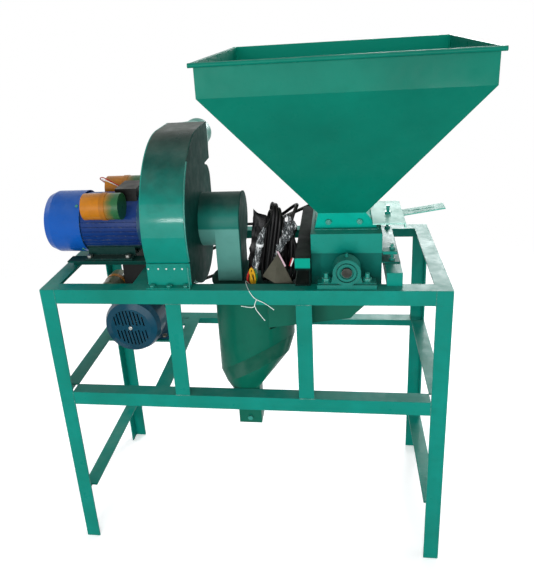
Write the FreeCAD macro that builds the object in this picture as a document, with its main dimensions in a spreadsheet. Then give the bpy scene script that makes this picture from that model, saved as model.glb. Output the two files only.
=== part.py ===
"""Seed sheller: a welded angle frame with a sheller head under a square feed hopper,
a suction fan with its own motor, and a settling tub between them.

X runs to the right along the frame, Y to the back, Z up. Lengths are in millimetres.
Every size is a cell of the sheet, and each sub-part takes its sizes from those cells.
"""
import FreeCAD, Part
import math
import os
import Sketcher

V = FreeCAD.Vector
doc = FreeCAD.newDocument("seed_sheller")
sheet = doc.addObject("Spreadsheet::Sheet", "dims")

SIZES = {
    # frame of steel angle
    "frame_length": 1050,
    "frame_width": 486,
    "frame_height": 840,
    "angle_flange": 40,
    "angle_wall": 4,
    "mid_height": 525,
    "low_height": 165,
    "upright_left": 167,
    "upright_right": 168,
    "top_cross_place": 262,
    "mid_cross_place": 236,
    # both electric motors
    "motor_shaft_height": 90,
    "motor_body_radius": 82,
    "motor_body_wall": 6,
    "motor_fin_height": 3,
    "motor_fin_wall": 2.4,
    "motor_cover_radius": 88,
    "motor_cover_wall": 2,
    "motor_cover_round": 26,
    "motor_length": 288,
    "motor_foot_spacing": 140,
    "motor_foot_pitch": 112,
    "motor_foot_wall": 5,
    "motor_shaft_radius": 12,
    "fan_shaft_out": 94,
    "sheller_shaft_out": 50,
    "rotor_radius": 44,
    "rotor_length": 110,
    "shield_wall": 12,
    "capacitor_radius": 36,
    "capacitor_length": 104,
    "capacitor_sine": 0.6,
    "fan_box_width": 90,
    "fan_box_rise": 22,
    "fan_box_start": 214,
    "fan_box_length": 60,
    "fan_capacitor_back": 29,
    "sheller_box_width": 104,
    "sheller_box_rise": 94,
    "sheller_box_start": 136,
    "sheller_box_length": 92,
    "sheller_capacitor_back": 8,
    "cover_screw_radius": 2.1,
    "cover_screw_back": 9,
    "grille_radius": 58,
    "grille_slot": 4,
    "grille_pitch": 11,
    "grille_lean": 0.16,
    # fan
    "fan_axis_place": -20,
    "fan_motor_end": -563,
    "fan_cover_length": 114,
    "rail_height": 26,
    "fan_rail_start": -500,
    "casing_left": -230,
    "casing_right": -121,
    "plate_wall": 3,
    "strip_wall": 2.5,
    "scroll_step": 40,
    "scroll_radius": 149,
    "duct_end": 135,
    "duct_floor": 143,
    "tongue_place": 74,
    "tongue_radius": 55,
    "skirt_depth": 215,
    "skirt_top": 62,
    "skirt_bolt_pitch": 44,
    "foot_flange": 24,
    "shaft_hole_radius": 24,
    "impeller_radius": 118,
    "impeller_width": 70,
    "impeller_blades": 8,
    "impeller_hub_radius": 20,
    "reducer_length": 82,
    "outlet_radius": 44,
    "outlet_length": 45,
    "sheet_wall": 2,
    # suction duct and settling tub
    "inlet_radius": 75,
    "inlet_end": -8,
    "inlet_cap_lip": 2,
    "riser_left": -74,
    "riser_back": 0,
    "tub_place": 18,
    "tub_radius": 110,
    "tub_drop": 40,
    "tub_cover_over": 6,
    "tub_cover_wall": 3,
    "tub_height": 240,
    "tub_rise_side": 0.56,
    "tub_rise_front": 0.40,
    "cone_drop": 96,
    "spout_left": -24,
    "spout_right": 39,
    "spout_front": -200,
    "spout_back": -148,
    "spout_drop": 148,
    "spout_bolt_rise": 18,
    # sheller head
    "sheller_place": 274,
    "sheller_middle": -58,
    "housing_half_width": 88.5,
    "housing_half_depth": 102,
    "cover_overhang": 8,
    "housing_drop": 40,
    "housing_wall": 3,
    "cover_above": 65,
    "cover_height": 52,
    "cover_flange": 37,
    "shaft_above": 43,
    "drum_radius": 56,
    "drum_bars": 8,
    "bar_height": 6,
    "bar_width": 10,
    "drum_end_gap": 8,
    "main_shaft_radius": 12.5,
    "running_gap": 0.05,
    "clearance": 0.3,
    "screen_radius": 71,
    "screen_wall": 3,
    "screen_bars": 12,
    "bearing_base_half": 72,
    "bearing_base_height": 13,
    "bearing_depth": 42,
    "bearing_web_depth": 26,
    "bearing_radius": 34,
    "bearing_bolt_half": 50,
    "bearing_bolt_radius": 5.5,
    "bearing_insert_radius": 26,
    "bearing_collar_radius": 23,
    "bearing_collar_bore": 17,
    "bearing_collar_length": 5,
    "bearing_place": 214,
    "channel_width": 38,
    "channel_front": 215,
    "beam_width": 38,
    "beam_height": 35,
    "channel_rise": 5,
    "channel_lip": 32,
    "tie_bolt_half": 80,
    # belt drive behind the frame
    "belt_plane": 280,
    "drum_pulley_radius": 60,
    "motor_pulley_radius": 42,
    "pulley_width": 22,
    "belt_top_width": 13,
    "belt_depth": 8,
    # hopper, neck and feed gate
    "hopper_place": 264,
    "hopper_half_length": 299,
    "hopper_half_width": 285,
    "hopper_height": 396,
    "hopper_band": 73,
    "hopper_wall": 2,
    "rim_radius": 5,
    "neck_height": 45,
    "neck_half_length": 60,
    "neck_half_width": 71,
    "neck_base_left": 195,
    "neck_base_right": 353,
    "neck_base_half": 57,
    "neck_bolt_above": 21,
    "gate_above": 18,
    "gate_wall": 3,
    "gate_half_width": 50,
    "gate_inner_end": 203,
    "guide_right": 419,
    "guide_front": 97,
    "guide_back": 92,
    "guide_lip": 10,
    "handle_length": 106,
    "handle_half_width": 22,
    "handle_rise": 9.4,
    # shelling motor
    "sheller_motor_place": -372,
    "sheller_motor_end": -35,
    "sheller_cover_length": 92,
    # chute from the sheller to the tub
    "chute_half_depth": 99,
    "chute_depth": 116,
    "chute_floor_right": 283,
    "chute_floor_rise": 39,
    # power cable
    "cable_radius": 4.5,
    "hank_place": 96,
    "hank_depth": -98,
    "hank_radius": 44,
    "hank_rise": 140,
    "hank_thickness": 56,
    # place of the stand's middle, so that the origin lies under the middle of the whole
    "stand_right": -5,
    "stand_back": 25,
}


class Size:
    """A length or number, with the formula of sheet cells that gives it."""

    def __init__(self, value, text):
        self.value = value
        self.text = text

    def __add__(self, other):
        other = as_size(other)
        return Size(self.value + other.value, "(%s + %s)" % (self.text, other.text))

    def __radd__(self, other):
        return as_size(other) + self

    def __sub__(self, other):
        other = as_size(other)
        return Size(self.value - other.value, "(%s - %s)" % (self.text, other.text))

    def __rsub__(self, other):
        return as_size(other) - self

    def __mul__(self, other):
        other = as_size(other)
        return Size(self.value * other.value, "%s * %s" % (self.text, other.text))

    def __rmul__(self, other):
        return as_size(other) * self

    def __truediv__(self, other):
        other = as_size(other)
        return Size(self.value / other.value, "%s / %s" % (self.text, other.text))

    def __neg__(self):
        return Size(-self.value, "(0 - %s)" % self.text)


def as_size(amount):
    """A plain number as a Size, and a Size as it is."""
    if isinstance(amount, Size):
        return amount
    text = repr(amount) if amount >= 0 else "(%r)" % amount
    return Size(amount, text)


def root(amount):
    """The square root of a Size."""
    return Size(math.sqrt(amount.value), "sqrt(%s)" % amount.text)


class Cells:
    """The sheet's cells, each read by its own word."""


dims = Cells()
for row, (word, number) in enumerate(SIZES.items(), start=1):
    sheet.set("A%d" % row, word)
    sheet.set("B%d" % row, str(number))
    sheet.setAlias("B%d" % row, word)
    setattr(dims, word, Size(float(number), "dims.%s" % word))
doc.recompute()

# Levels above the floor that follow from the frame's height.
dims.tub_top = dims.frame_height - dims.tub_drop
dims.tub_split = dims.tub_top - dims.tub_height
dims.spout_bottom = dims.tub_split - dims.spout_drop
dims.chute_roof = dims.tub_top - dims.tub_cover_wall
dims.chute_floor = dims.chute_roof - dims.chute_depth
dims.housing_bottom = dims.frame_height - dims.housing_drop
dims.cover_bottom = dims.frame_height + dims.cover_above
dims.cover_top = dims.cover_bottom + dims.cover_height
dims.neck_top = dims.cover_top + dims.neck_height
dims.neck_bolt_level = dims.cover_top + dims.neck_bolt_above
dims.gate_level = dims.cover_top + dims.gate_above
dims.hopper_top = dims.neck_top + dims.hopper_height

# The drum fills the housing's length but for a gap at each end.
dims.drum_length = 2 * (dims.housing_half_depth - dims.cover_overhang - dims.housing_wall
                        - dims.drum_end_gap)

sub_parts = []
shared = {}


def bind(thing, prop, amount):
    """Tie one property of an object to its formula."""
    thing.setExpression(prop, as_size(amount).text)


def put(thing, at):
    """Tie an object's place to three formulas."""
    for letter, amount in zip("xyz", at):
        bind(thing, "Placement.Base." + letter, amount)


def span(one, other):
    """Two ends of an edge, the lower first."""
    one, other = as_size(one), as_size(other)
    return (one, other) if one.value < other.value else (other, one)


def slab(x, y, z, name="Slab"):
    """A block between two planes on each axis."""
    block = doc.addObject("Part::Box", name)
    ends = [span(*pair) for pair in (x, y, z)]
    for prop, (low, high) in zip(("Length", "Width", "Height"), ends):
        bind(block, prop, high - low)
    put(block, [low for low, high in ends])
    return block


TURNS = {
    "x": FreeCAD.Rotation(V(0, 1, 0), 90),
    "y": FreeCAD.Rotation(V(1, 0, 0), -90),
    "z": FreeCAD.Rotation(),
}


def rod(radius, length, at, along="z", name="Rod"):
    """A round bar from `at`, running the positive way along one axis."""
    bar = doc.addObject("Part::Cylinder", name)
    bar.Placement = FreeCAD.Placement(V(), TURNS[along])
    bind(bar, "Radius", radius)
    bind(bar, "Height", length)
    put(bar, at)
    return bar


def join(*shapes):
    """Shapes fused into one solid."""
    fused = doc.addObject("Part::MultiFuse", "Join")
    fused.Shapes = list(shapes)
    return fused


def cut(base, *tools):
    """The base with the tools taken out of it."""
    result = doc.addObject("Part::Cut", "Cut")
    result.Base = base
    result.Tool = tools[0] if len(tools) == 1 else join(*tools)
    return result


def common(*shapes):
    """What two shapes share."""
    shared = doc.addObject("Part::MultiCommon", "Common")
    shared.Shapes = list(shapes)
    return shared


def tube(outer, inner, length, at, along="z"):
    """A round pipe."""
    return cut(rod(outer, length, at, along), rod(inner, length, at, along))


def sub_part(label, *shapes, at=(0, 0, 0), turn="z"):
    """One node: its solids, kept apart, under its own label and placement."""
    part = doc.addObject("Part::Compound", label)
    part.Links = list(shapes)
    return settle(part, label, at, TURNS[turn] if isinstance(turn, str) else turn)


def grouped(shapes, at, turn):
    """Shapes turned and moved together."""
    group = doc.addObject("Part::Compound", "Group")
    group.Links = list(shapes)
    group.Placement = FreeCAD.Placement(V(), turn)
    put(group, at)
    return group


def share(label, shapes, at, turn):
    """Add like pieces of one machine to a node that holds them all."""
    shared.setdefault(label, []).append(grouped(shapes, at, turn))


def settle(part, label, at=(0, 0, 0), turn=FreeCAD.Rotation()):
    """Give a node its label and its place in the machine."""
    part.Label = label
    part.Placement = FreeCAD.Placement(V(), turn)
    x, y, z = at
    put(part, (x + dims.stand_right, y + dims.stand_back, z))
    sub_parts.append(part)
    return part


def new_body(label, at=(0, 0, 0), turn=FreeCAD.Rotation()):
    """An empty body for a node built from sketches."""
    return settle(doc.addObject("PartDesign::Body", label), label, at, turn)


def sketch_on(body, plane, offset=0):
    """A sketch on one of the body's own origin planes, moved along its normal."""
    sketch = body.newObject("Sketcher::SketchObject", "Sketch")
    planes = {feature.Role: feature for feature in body.Origin.OriginFeatures}
    sketch.AttachmentSupport = [(planes[plane + "_Plane"], "")]
    sketch.MapMode = "FlatFace"
    bind(sketch, "AttachmentOffset.Base.z", offset)
    return sketch


def pin(sketch, edge, point, place):
    """Hold one point of a sketch edge at its formulas."""
    for kind, amount in zip(("DistanceX", "DistanceY"), place):
        amount = as_size(amount)
        rule = Sketcher.Constraint(kind, -1, 1, edge, point, amount.value)
        number = sketch.addConstraint(rule)
        sketch.setExpression("Constraints[%d]" % number, amount.text)


def vector(place):
    return V(as_size(place[0]).value, as_size(place[1]).value, 0)


def draw_polygon(sketch, corners):
    """A closed outline of straight edges through the corners."""
    first = sketch.GeometryCount
    count = len(corners)
    for index in range(count):
        start, end = corners[index], corners[(index + 1) % count]
        sketch.addGeometry(Part.LineSegment(vector(start), vector(end)))
    for index, corner in enumerate(corners):
        after = first + (index + 1) % count
        sketch.addConstraint(Sketcher.Constraint("Coincident", first + index, 2, after, 1))
        pin(sketch, first + index, 1, corner)


def draw_circle(sketch, radius, centre=(0, 0)):
    """A circle of the given radius."""
    radius = as_size(radius)
    edge = sketch.addGeometry(Part.Circle(vector(centre), V(0, 0, 1), radius.value))
    pin(sketch, edge, 3, centre)
    number = sketch.addConstraint(Sketcher.Constraint("Radius", edge, radius.value))
    sketch.setExpression("Constraints[%d]" % number, radius.text)


def draw_line(sketch, start, end):
    """A straight edge held at both its ends."""
    edge = sketch.addGeometry(Part.LineSegment(vector(start), vector(end)))
    pin(sketch, edge, 1, start)
    pin(sketch, edge, 2, end)


def draw_quarter(sketch, centre, radius, start):
    """A quarter circle that starts at 0, 90, 180 or 270 degrees and runs anticlockwise."""
    radius = as_size(radius)
    circle = Part.Circle(vector(centre), V(0, 0, 1), radius.value)
    first = math.radians(start)
    edge = sketch.addGeometry(Part.ArcOfCircle(circle, first, first + math.pi / 2))
    pin(sketch, edge, 3, centre)
    number = sketch.addConstraint(Sketcher.Constraint("Radius", edge, radius.value))
    sketch.setExpression("Constraints[%d]" % number, radius.text)
    level, upright = (1, 2) if start in (0, 180) else (2, 1)
    sketch.addConstraint(Sketcher.Constraint("Horizontal", edge, 3, edge, level))
    sketch.addConstraint(Sketcher.Constraint("Vertical", edge, 3, edge, upright))


def feature(body, kind, sketch, **sizes):
    """A sketched feature of the body with its sizes tied to their formulas."""
    made = body.newObject("PartDesign::" + kind, kind)
    made.Profile = sketch
    for prop, amount in sizes.items():
        if isinstance(amount, bool):
            setattr(made, prop, amount)
        else:
            bind(made, prop, amount)
    return made


def turned(body, kind, sketch, axis="V_Axis"):
    """A full turn of the sketch about one of its axes."""
    made = body.newObject("PartDesign::" + kind, kind)
    made.Profile = sketch
    made.ReferenceAxis = (sketch, [axis])
    made.Angle = 360
    return made


def around(body, copied, sketch, count, axis="N_Axis"):
    """Copies of a feature evenly round the sketch's axis."""
    ring = body.newObject("PartDesign::PolarPattern", "PolarPattern")
    ring.Originals = [copied]
    ring.Axis = (sketch, [axis])
    ring.Angle = 360
    bind(ring, "Occurrences", count)
    body.Tip = ring
    return ring


def angle_bar(x, y, z, upright):
    """A steel angle along X or Y: its level flange on top, its upright flange on one side."""
    d = dims
    level = slab(x, y, (z - d.angle_wall, z))
    side = slab(*upright, (z - d.angle_flange, z - d.angle_wall))
    return join(level, side)


def corner_post(x_side, y_side, x_edge, y_edge, bottom, top):
    """An upright steel angle whose corner is at the given edges, opening the other way."""
    d = dims
    front = slab((x_edge, x_edge - x_side * d.angle_flange),
                 (y_edge, y_edge - y_side * d.angle_wall), (bottom, top))
    side = slab((x_edge, x_edge - x_side * d.angle_wall),
                (y_edge - y_side * d.angle_wall, y_edge - y_side * d.angle_flange), (bottom, top))
    return join(front, side)


def build_frame():
    """The stand: legs, top and middle rings, low side rails and uprights."""
    d = dims
    end = d.frame_length / 2
    face = d.frame_width / 2
    flange, wall = d.angle_flange, d.angle_wall

    legs = [corner_post(sx, sy, sx * end, sy * face, 0, d.frame_height - flange)
            for sx in (-1, 1) for sy in (-1, 1)]
    sub_part("corner_legs", *legs)

    top = []
    for side in (-1, 1):
        level = d.frame_height
        top.append(angle_bar((-end, end), (side * face, side * (face - flange)), level,
                             ((-end, end), (side * face, side * (face - wall)))))
        flat = slab((side * end, side * (end - flange)), (flange - face, face - flange),
                    (level - wall, level))
        web = slab((side * end, side * (end - wall)), (wall - face, face - wall),
                   (level - flange, level - wall))
        top.append(join(flat, web))
    top[0] = cut(top[0], *rail_holes(-1))
    top[2] = cut(top[2], *rail_holes(1))
    sub_part("top_ring_rails", *top)

    middle = []
    for side in (-1, 1):
        middle.append(angle_bar((flange - end, end - flange),
                                (side * face, side * (face - flange)), d.mid_height,
                                ((flange - end, end - flange),
                                 (side * face, side * (face - wall)))))
        middle.append(angle_bar((side * end, side * (end - flange)),
                                (flange - face, face - flange), d.mid_height,
                                ((side * end, side * (end - wall)),
                                 (flange - face, face - flange))))
    sub_part("mid_ring_rails", *middle)

    low = [angle_bar((side * end, side * (end - flange)), (flange - face, face - flange),
                     d.low_height, ((side * end, side * (end - wall)),
                                    (flange - face, face - flange)))
           for side in (-1, 1)]
    sub_part("low_side_rails", *low)

    posts = []
    for middle_x in (-d.upright_left, d.upright_right):
        plate = slab((middle_x - flange / 2, middle_x + flange / 2), (-face, wall - face),
                     (d.mid_height, d.frame_height - flange))
        rib = slab((middle_x - flange / 2, middle_x - flange / 2 + wall),
                   (wall - face, flange - face), (d.mid_height, d.frame_height - wall))
        posts.append(join(plate, rib))
    sub_part("front_uprights", *posts)

    beams = []
    for place, level in ((d.top_cross_place, d.frame_height), (d.mid_cross_place, d.mid_height)):
        left = -place - flange / 2
        reach = (flange - face, face - flange)
        beams.append(angle_bar((left, left + flange), reach, level,
                               ((left, left + wall), reach)))
    sub_part("cross_beams", *beams)


def bearing_bolt_places(side):
    """Where the pillow block on the front or the back rail is bolted."""
    d = dims
    return [(d.sheller_place + hand * d.bearing_bolt_half, side * d.bearing_place)
            for hand in (-1, 1)]


def skirt_bolt_places(side):
    """Where the fan casing's foot is bolted to the front or the back rail."""
    d = dims
    middle = (d.casing_left + d.casing_right) / 2
    y = side * (d.skirt_depth + d.foot_flange / 2 + 1)
    return [(middle + step * d.skirt_bolt_pitch, y) for step in (-1, 0, 1)]


def rail_holes(side):
    """The bolt holes through a top rail."""
    d = dims
    low = d.frame_height - d.angle_wall - 1
    spots = [(spot, d.bearing_bolt_radius + d.clearance) for spot in bearing_bolt_places(side)]
    spots += [(spot, 4.3) for spot in skirt_bolt_places(side)]
    return [rod(radius, d.angle_wall + 2, (x, y, low)) for (x, y), radius in spots]


def motor_foot_places(cover_length):
    """Where the foot bolts stand along a motor, from its covered end."""
    first = cover_length + 10
    return first, first + dims.motor_foot_pitch


def build_motor(name, at, turn, cover_length, shaft_out, box_size):
    """One single-phase motor. Its own Z runs from the fan cover to the shaft, its X down."""
    d = dims
    radius, wall = d.motor_body_radius, d.motor_body_wall
    start = cover_length - 14
    length = d.motor_length - d.shield_wall - start - 14

    shell = tube(radius, radius - wall, length, (0, 0, start + 14))
    foot_back, foot_front = motor_foot_places(cover_length)
    low, high = foot_back - 10, foot_front + 16
    half = d.motor_foot_spacing / 2 + 15
    sole = slab((d.motor_shaft_height - d.motor_foot_wall, d.motor_shaft_height),
                (-half, half), (low, high))
    inner = half - 32
    webs = [slab((radius * 0.55, d.motor_shaft_height - d.motor_foot_wall),
                 (side * (inner - 8), side * inner), (low, high)) for side in (-1, 1)]
    base = cut(join(sole, *webs), rod(radius - wall / 2, high - low, (0, 0, low)),
               *[rod(5, d.motor_foot_wall, (d.motor_shaft_height - d.motor_foot_wall,
                                            side * d.motor_foot_spacing / 2, z), "x")
                 for side in (-1, 1) for z in (foot_back, foot_front)])
    fins = [motor_fin(side * angle, (start + 17, start + 11 + length))
            for side in (-1, 1) for angle in FIN_ANGLES]
    sub_part(name + "_body", join(shell, base, *fins), at=at, turn=turn)

    build_motor_cover(name + "_cover", at, turn, cover_length)

    bore = d.motor_shaft_radius + d.running_gap
    back = cut(join(rod(radius, d.shield_wall, (0, 0, start + 2)),
                    rod(26, 12, (0, 0, start - 10))),
               rod(bore, 40, (0, 0, start - 14)))
    front_place = d.motor_length - d.shield_wall
    front = cut(join(rod(radius, d.shield_wall, (0, 0, front_place)),
                     rod(30, 8, (0, 0, d.motor_length))),
                rod(bore, 40, (0, 0, front_place - 8)))
    ribs = []
    for side in (-1, 1):
        rib = (side * 28, side * (radius - 8))
        ribs.append(slab(rib, (-3, 3), (d.motor_length, d.motor_length + 5)))
        ribs.append(slab((-3, 3), rib, (d.motor_length, d.motor_length + 5)))
    share("motor_end_shields", [back, join(front, *ribs)], at, turn)

    core_start = start + 14 + (length - d.rotor_length) / 2
    stator = tube(radius - wall, d.rotor_radius + 0.6, d.rotor_length, (0, 0, core_start))
    share("motor_stators", [stator], at, turn)

    reach = d.motor_length + shaft_out
    shaft = join(rod(d.motor_shaft_radius, reach - 40, (0, 0, 40)),
                 rod(d.rotor_radius, d.rotor_length, (0, 0, core_start)))
    sub_part(name + "_rotor_shaft", shaft, at=at, turn=turn)
    build_cooling_fan(name + "_cooling_fan", at, turn, start)
    build_motor_top(name, at, turn, box_size)


FIN_ANGLES = [49 + 9 * step for step in range(7)]


def motor_fin(angle, z):
    """One cooling fin along the motor, at an angle from straight down."""
    d = dims
    fin = slab((d.motor_body_radius - 2, d.motor_body_radius + d.motor_fin_height),
               (-d.motor_fin_wall / 2, d.motor_fin_wall / 2), z)
    return grouped([fin], (0, 0, 0), FreeCAD.Rotation(V(0, 0, 1), angle))


def build_motor_cover(label, at, turn, cover_length):
    """The pressed steel cowl over the cooling fan, with slots in its round end."""
    d = dims
    body = new_body(label, at, turn)
    radius, wall, bend = d.motor_cover_radius, d.motor_cover_wall, d.motor_cover_round
    outline = sketch_on(body, "XZ")
    corners = [(0, 0), (radius - bend, 0), (radius - bend * 0.29, bend * 0.29), (radius, bend),
               (radius, cover_length), (radius - wall, cover_length),
               (radius - wall, bend + wall * 0.5), (radius - bend * 0.29 - wall, bend * 0.29 + wall),
               (radius - bend - wall * 0.5, wall), (0, wall)]
    draw_polygon(outline, corners)
    turned(body, "Revolution", outline)
    slots = sketch_on(body, "XY")
    for step in range(-4, 5):
        across = step * d.grille_pitch
        reach = root(d.grille_radius * d.grille_radius - across * across)
        inner = 7 + 3 * (abs(step) % 2)
        for side in (-1, 1):
            near, far = across - side * inner * d.grille_lean, across - side * reach * d.grille_lean
            draw_polygon(slots, [(side * inner, near - d.grille_slot / 2),
                                 (side * inner, near + d.grille_slot / 2),
                                 (side * reach, far + d.grille_slot / 2),
                                 (side * reach, far - d.grille_slot / 2)])
    feature(body, "Pocket", slots, Length=wall * 2, Midplane=True)
    screw_hole = sketch_on(body, "YZ")
    screw_hole.AttachmentOffset = FreeCAD.Placement(V(), FreeCAD.Rotation(V(0, 1, 0), 45))
    draw_circle(screw_hole, d.cover_screw_radius + d.clearance, (0, cover_length - d.cover_screw_back))
    drilled = feature(body, "Pocket", screw_hole, Length=radius + 5, Reversed=True)
    around(body, drilled, slots, 4)
    place = (radius, 0, cover_length - d.cover_screw_back)
    for quarter in range(4):
        screw = join(rod(d.cover_screw_radius * 2, 2.6, place, "x"),
                     rod(d.cover_screw_radius, 4.5, (radius - 3.5, 0, place[2]), "x"))
        around_axis = FreeCAD.Rotation(V(0, 0, 1), 45 + 90 * quarter)
        share("light_bolts", [grouped([screw], (0, 0, 0), around_axis)], at, turn)


def build_cooling_fan(label, at, turn, start):
    """The plastic fan on the shaft inside the cowl."""
    d = dims
    body = new_body(label, at, turn)
    hub = sketch_on(body, "XY", start - 50)
    draw_circle(hub, 20)
    draw_circle(hub, d.motor_shaft_radius)
    feature(body, "Pad", hub, Length=34)
    blade = sketch_on(body, "XY", start - 50)
    draw_polygon(blade, [(19, -1.5), (d.motor_cover_radius - 18, -1.5),
                         (d.motor_cover_radius - 18, 1.5), (19, 1.5)])
    vane = feature(body, "Pad", blade, Length=30)
    around(body, vane, blade, 6)


def build_motor_top(name, at, turn, box_size):
    """Terminal box on top, with the run and start capacitors strapped on each side of it."""
    d = dims
    radius = d.motor_body_radius
    box_wide, box_rise, box_start, box_long, capacitor_start = box_size
    reach = radius + d.capacitor_radius - 1.5
    up, aside = reach * d.capacitor_sine, reach * root(1 - d.capacitor_sine * d.capacitor_sine)
    middle = capacitor_start + d.capacitor_length / 2
    cases, straps = [], []
    for side in (-1, 1):
        case = rod(d.capacitor_radius, d.capacitor_length, (-up, side * aside, capacitor_start))
        cases.append(cut(case, rod(radius, d.capacitor_length, (0, 0, capacitor_start))))
        band = tube(d.capacitor_radius + 1.5, d.capacitor_radius, 14, (-up, side * aside, middle))
        straps.append(cut(band, rod(radius, 14, (0, 0, middle))))
    share("motor_capacitors", cases, at, turn)
    share("capacitor_straps", straps, at, turn)
    block = slab((-radius - box_rise, -radius * 0.8), (-box_wide / 2, box_wide / 2),
                 (box_start, box_start + box_long))
    gland = rod(8, 12, (-radius - 6, box_wide / 2, box_start + box_long - 15), "y")
    sub_part(name + "_terminal_box",
             cut(join(block, gland), rod(radius, box_long, (0, 0, box_start))), at=at, turn=turn)


def scroll_centres():
    """Fan casing arcs: centre, radius and starting angle, from the back round to the top."""
    step, radius = dims.scroll_step, dims.scroll_radius
    half = step / 2
    return [((-half, -half), radius, 270), ((-half, half), radius + step, 180),
            ((half, half), radius + 2 * step, 90)]


def draw_scroll(sketch, inset, open_end):
    """The fan casing's outline in the Y-Z plane about its shaft, drawn `inset` inside."""
    d = dims
    inset = as_size(inset)
    for centre, radius, start in scroll_centres():
        draw_quarter(sketch, centre, radius - inset, start)
    half = d.scroll_step / 2
    back = d.scroll_radius - half - inset
    top = d.scroll_radius + 2.5 * d.scroll_step - inset
    floor = d.duct_floor + inset
    shoulder = d.tongue_place
    turn_level = back_level()
    draw_line(sketch, (half, top), (open_end, top))
    draw_line(sketch, (open_end, top), (open_end, floor))
    draw_line(sketch, (open_end, floor), (shoulder - inset, floor))
    tip = turn_level + d.tongue_radius - inset
    draw_line(sketch, (shoulder - inset, floor), (shoulder - inset, tip))
    if inset.value > 0:
        draw_line(sketch, (shoulder - inset, tip), (shoulder, tip))
    draw_quarter(sketch, (shoulder, turn_level), d.tongue_radius - inset, 0)
    draw_line(sketch, (back, turn_level), (back, -half))


def back_level():
    """Height above the shaft where the casing's back starts to turn in to the tongue."""
    d = dims
    return d.duct_floor - 6 - d.tongue_radius


def fan_axis(x):
    """A point on the fan's shaft line."""
    d = dims
    return (x, d.fan_axis_place, d.frame_height + d.rail_height + d.motor_shaft_height)


def build_fan_casing():
    """Side plates, rolled strip and the skirt that stands on the frame."""
    d = dims
    drop = -(d.rail_height + d.motor_shaft_height)
    front = -d.skirt_depth - d.fan_axis_place
    back = d.skirt_depth - d.fan_axis_place
    skirt = [(front, drop), (back, drop), (back, drop + d.rail_height),
             (d.scroll_radius - d.scroll_step, -d.scroll_radius / 2), (0, 0),
             (front, drop + d.skirt_top)]
    plates = (("fan_left_plate", d.casing_left - d.plate_wall, d.shaft_hole_radius),
              ("fan_right_plate", d.casing_right, d.inlet_radius - d.sheet_wall))
    for label, x, hole in plates:
        body = new_body(label, fan_axis(x))
        outline = sketch_on(body, "YZ")
        draw_scroll(outline, 0, d.duct_end)
        feature(body, "Pad", outline, Length=d.plate_wall)
        foot = sketch_on(body, "YZ")
        draw_polygon(foot, skirt)
        feature(body, "Pad", foot, Length=d.plate_wall)
        opening = sketch_on(body, "YZ", -1)
        draw_circle(opening, hole)
        feature(body, "Pocket", opening, Length=d.plate_wall * 2 + 2, Reversed=True)

    body = new_body("fan_scroll_strip", fan_axis(d.casing_left))
    outer = sketch_on(body, "YZ")
    draw_scroll(outer, 0, d.duct_end)
    feature(body, "Pad", outer, Length=d.casing_right - d.casing_left)
    inner = sketch_on(body, "YZ", -1)
    draw_scroll(inner, d.strip_wall, d.duct_end + 5)
    feature(body, "Pocket", inner, Length=d.casing_right - d.casing_left + 2, Reversed=True)

    pieces = []
    wall = d.plate_wall
    x = (d.casing_left - wall, d.casing_right + wall)
    for side, top in ((-1, d.skirt_top), (1, d.rail_height)):
        edge = side * d.skirt_depth
        plate = slab(x, (edge, edge + side * wall), (d.frame_height, d.frame_height + top))
        foot = slab(x, (edge, edge + side * d.foot_flange),
                    (d.frame_height, d.frame_height + wall))
        holes = [rod(4.3, wall + 2, (*spot, d.frame_height - 1))
                 for spot in skirt_bolt_places(side)]
        pieces.append(cut(join(plate, foot), *holes))
    sub_part("fan_skirt_ends", *pieces)


def loft(body, kind, profiles):
    """A straight-sided loft through closed sketches."""
    made = body.newObject("PartDesign::" + kind, kind)
    made.Profile = profiles[0]
    made.Sections = profiles[1:]
    made.Ruled = True
    return made


def rectangle(body, level, x, y, plane="XY"):
    """A rectangular section at a level of the body."""
    sketch = sketch_on(body, plane, level)
    draw_polygon(sketch, [(x[0], y[0]), (x[1], y[0]), (x[1], y[1]), (x[0], y[1])])
    return sketch


def build_outlet():
    """Square-to-round reducer and the round spigot that the dust hose goes over."""
    d = dims
    wall = d.sheet_wall
    middle = (d.casing_left + d.casing_right) / 2
    half = (d.casing_right - d.casing_left) / 2 + d.plate_wall
    top = d.scroll_radius + 2.5 * d.scroll_step
    rise = (top + d.duct_floor) / 2
    height = (top - d.duct_floor) / 2
    x, y, z = fan_axis(middle)
    place = (x, y + d.duct_end, z + rise)

    reducer = doc.addObject("Part::Feature", "fan_outlet_reducer")

    def transition(inset, start, end):
        w, h = half.value - inset, height.value - inset
        square = Part.makePolygon([V(-w, start, -h), V(w, start, -h), V(w, start, h),
                                   V(-w, start, h), V(-w, start, -h)])
        ring = Part.Wire([Part.Circle(V(0, end, 0), V(0, 1, 0),
                                      d.outlet_radius.value - inset).toShape()])
        return Part.makeLoft([square, ring], True, True)

    length = d.reducer_length.value
    outer = transition(0, 0, length)
    inner = transition(wall.value, 0, length)
    reducer.Shape = outer.cut(inner)
    settle(reducer, "fan_outlet_reducer", place)

    collar = tube(d.outlet_radius, d.outlet_radius - wall, d.outlet_length, (0, 0, 0), "y")
    sub_part("fan_outlet_collar", collar, at=(x, y + d.duct_end + d.reducer_length, z + rise))


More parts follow.
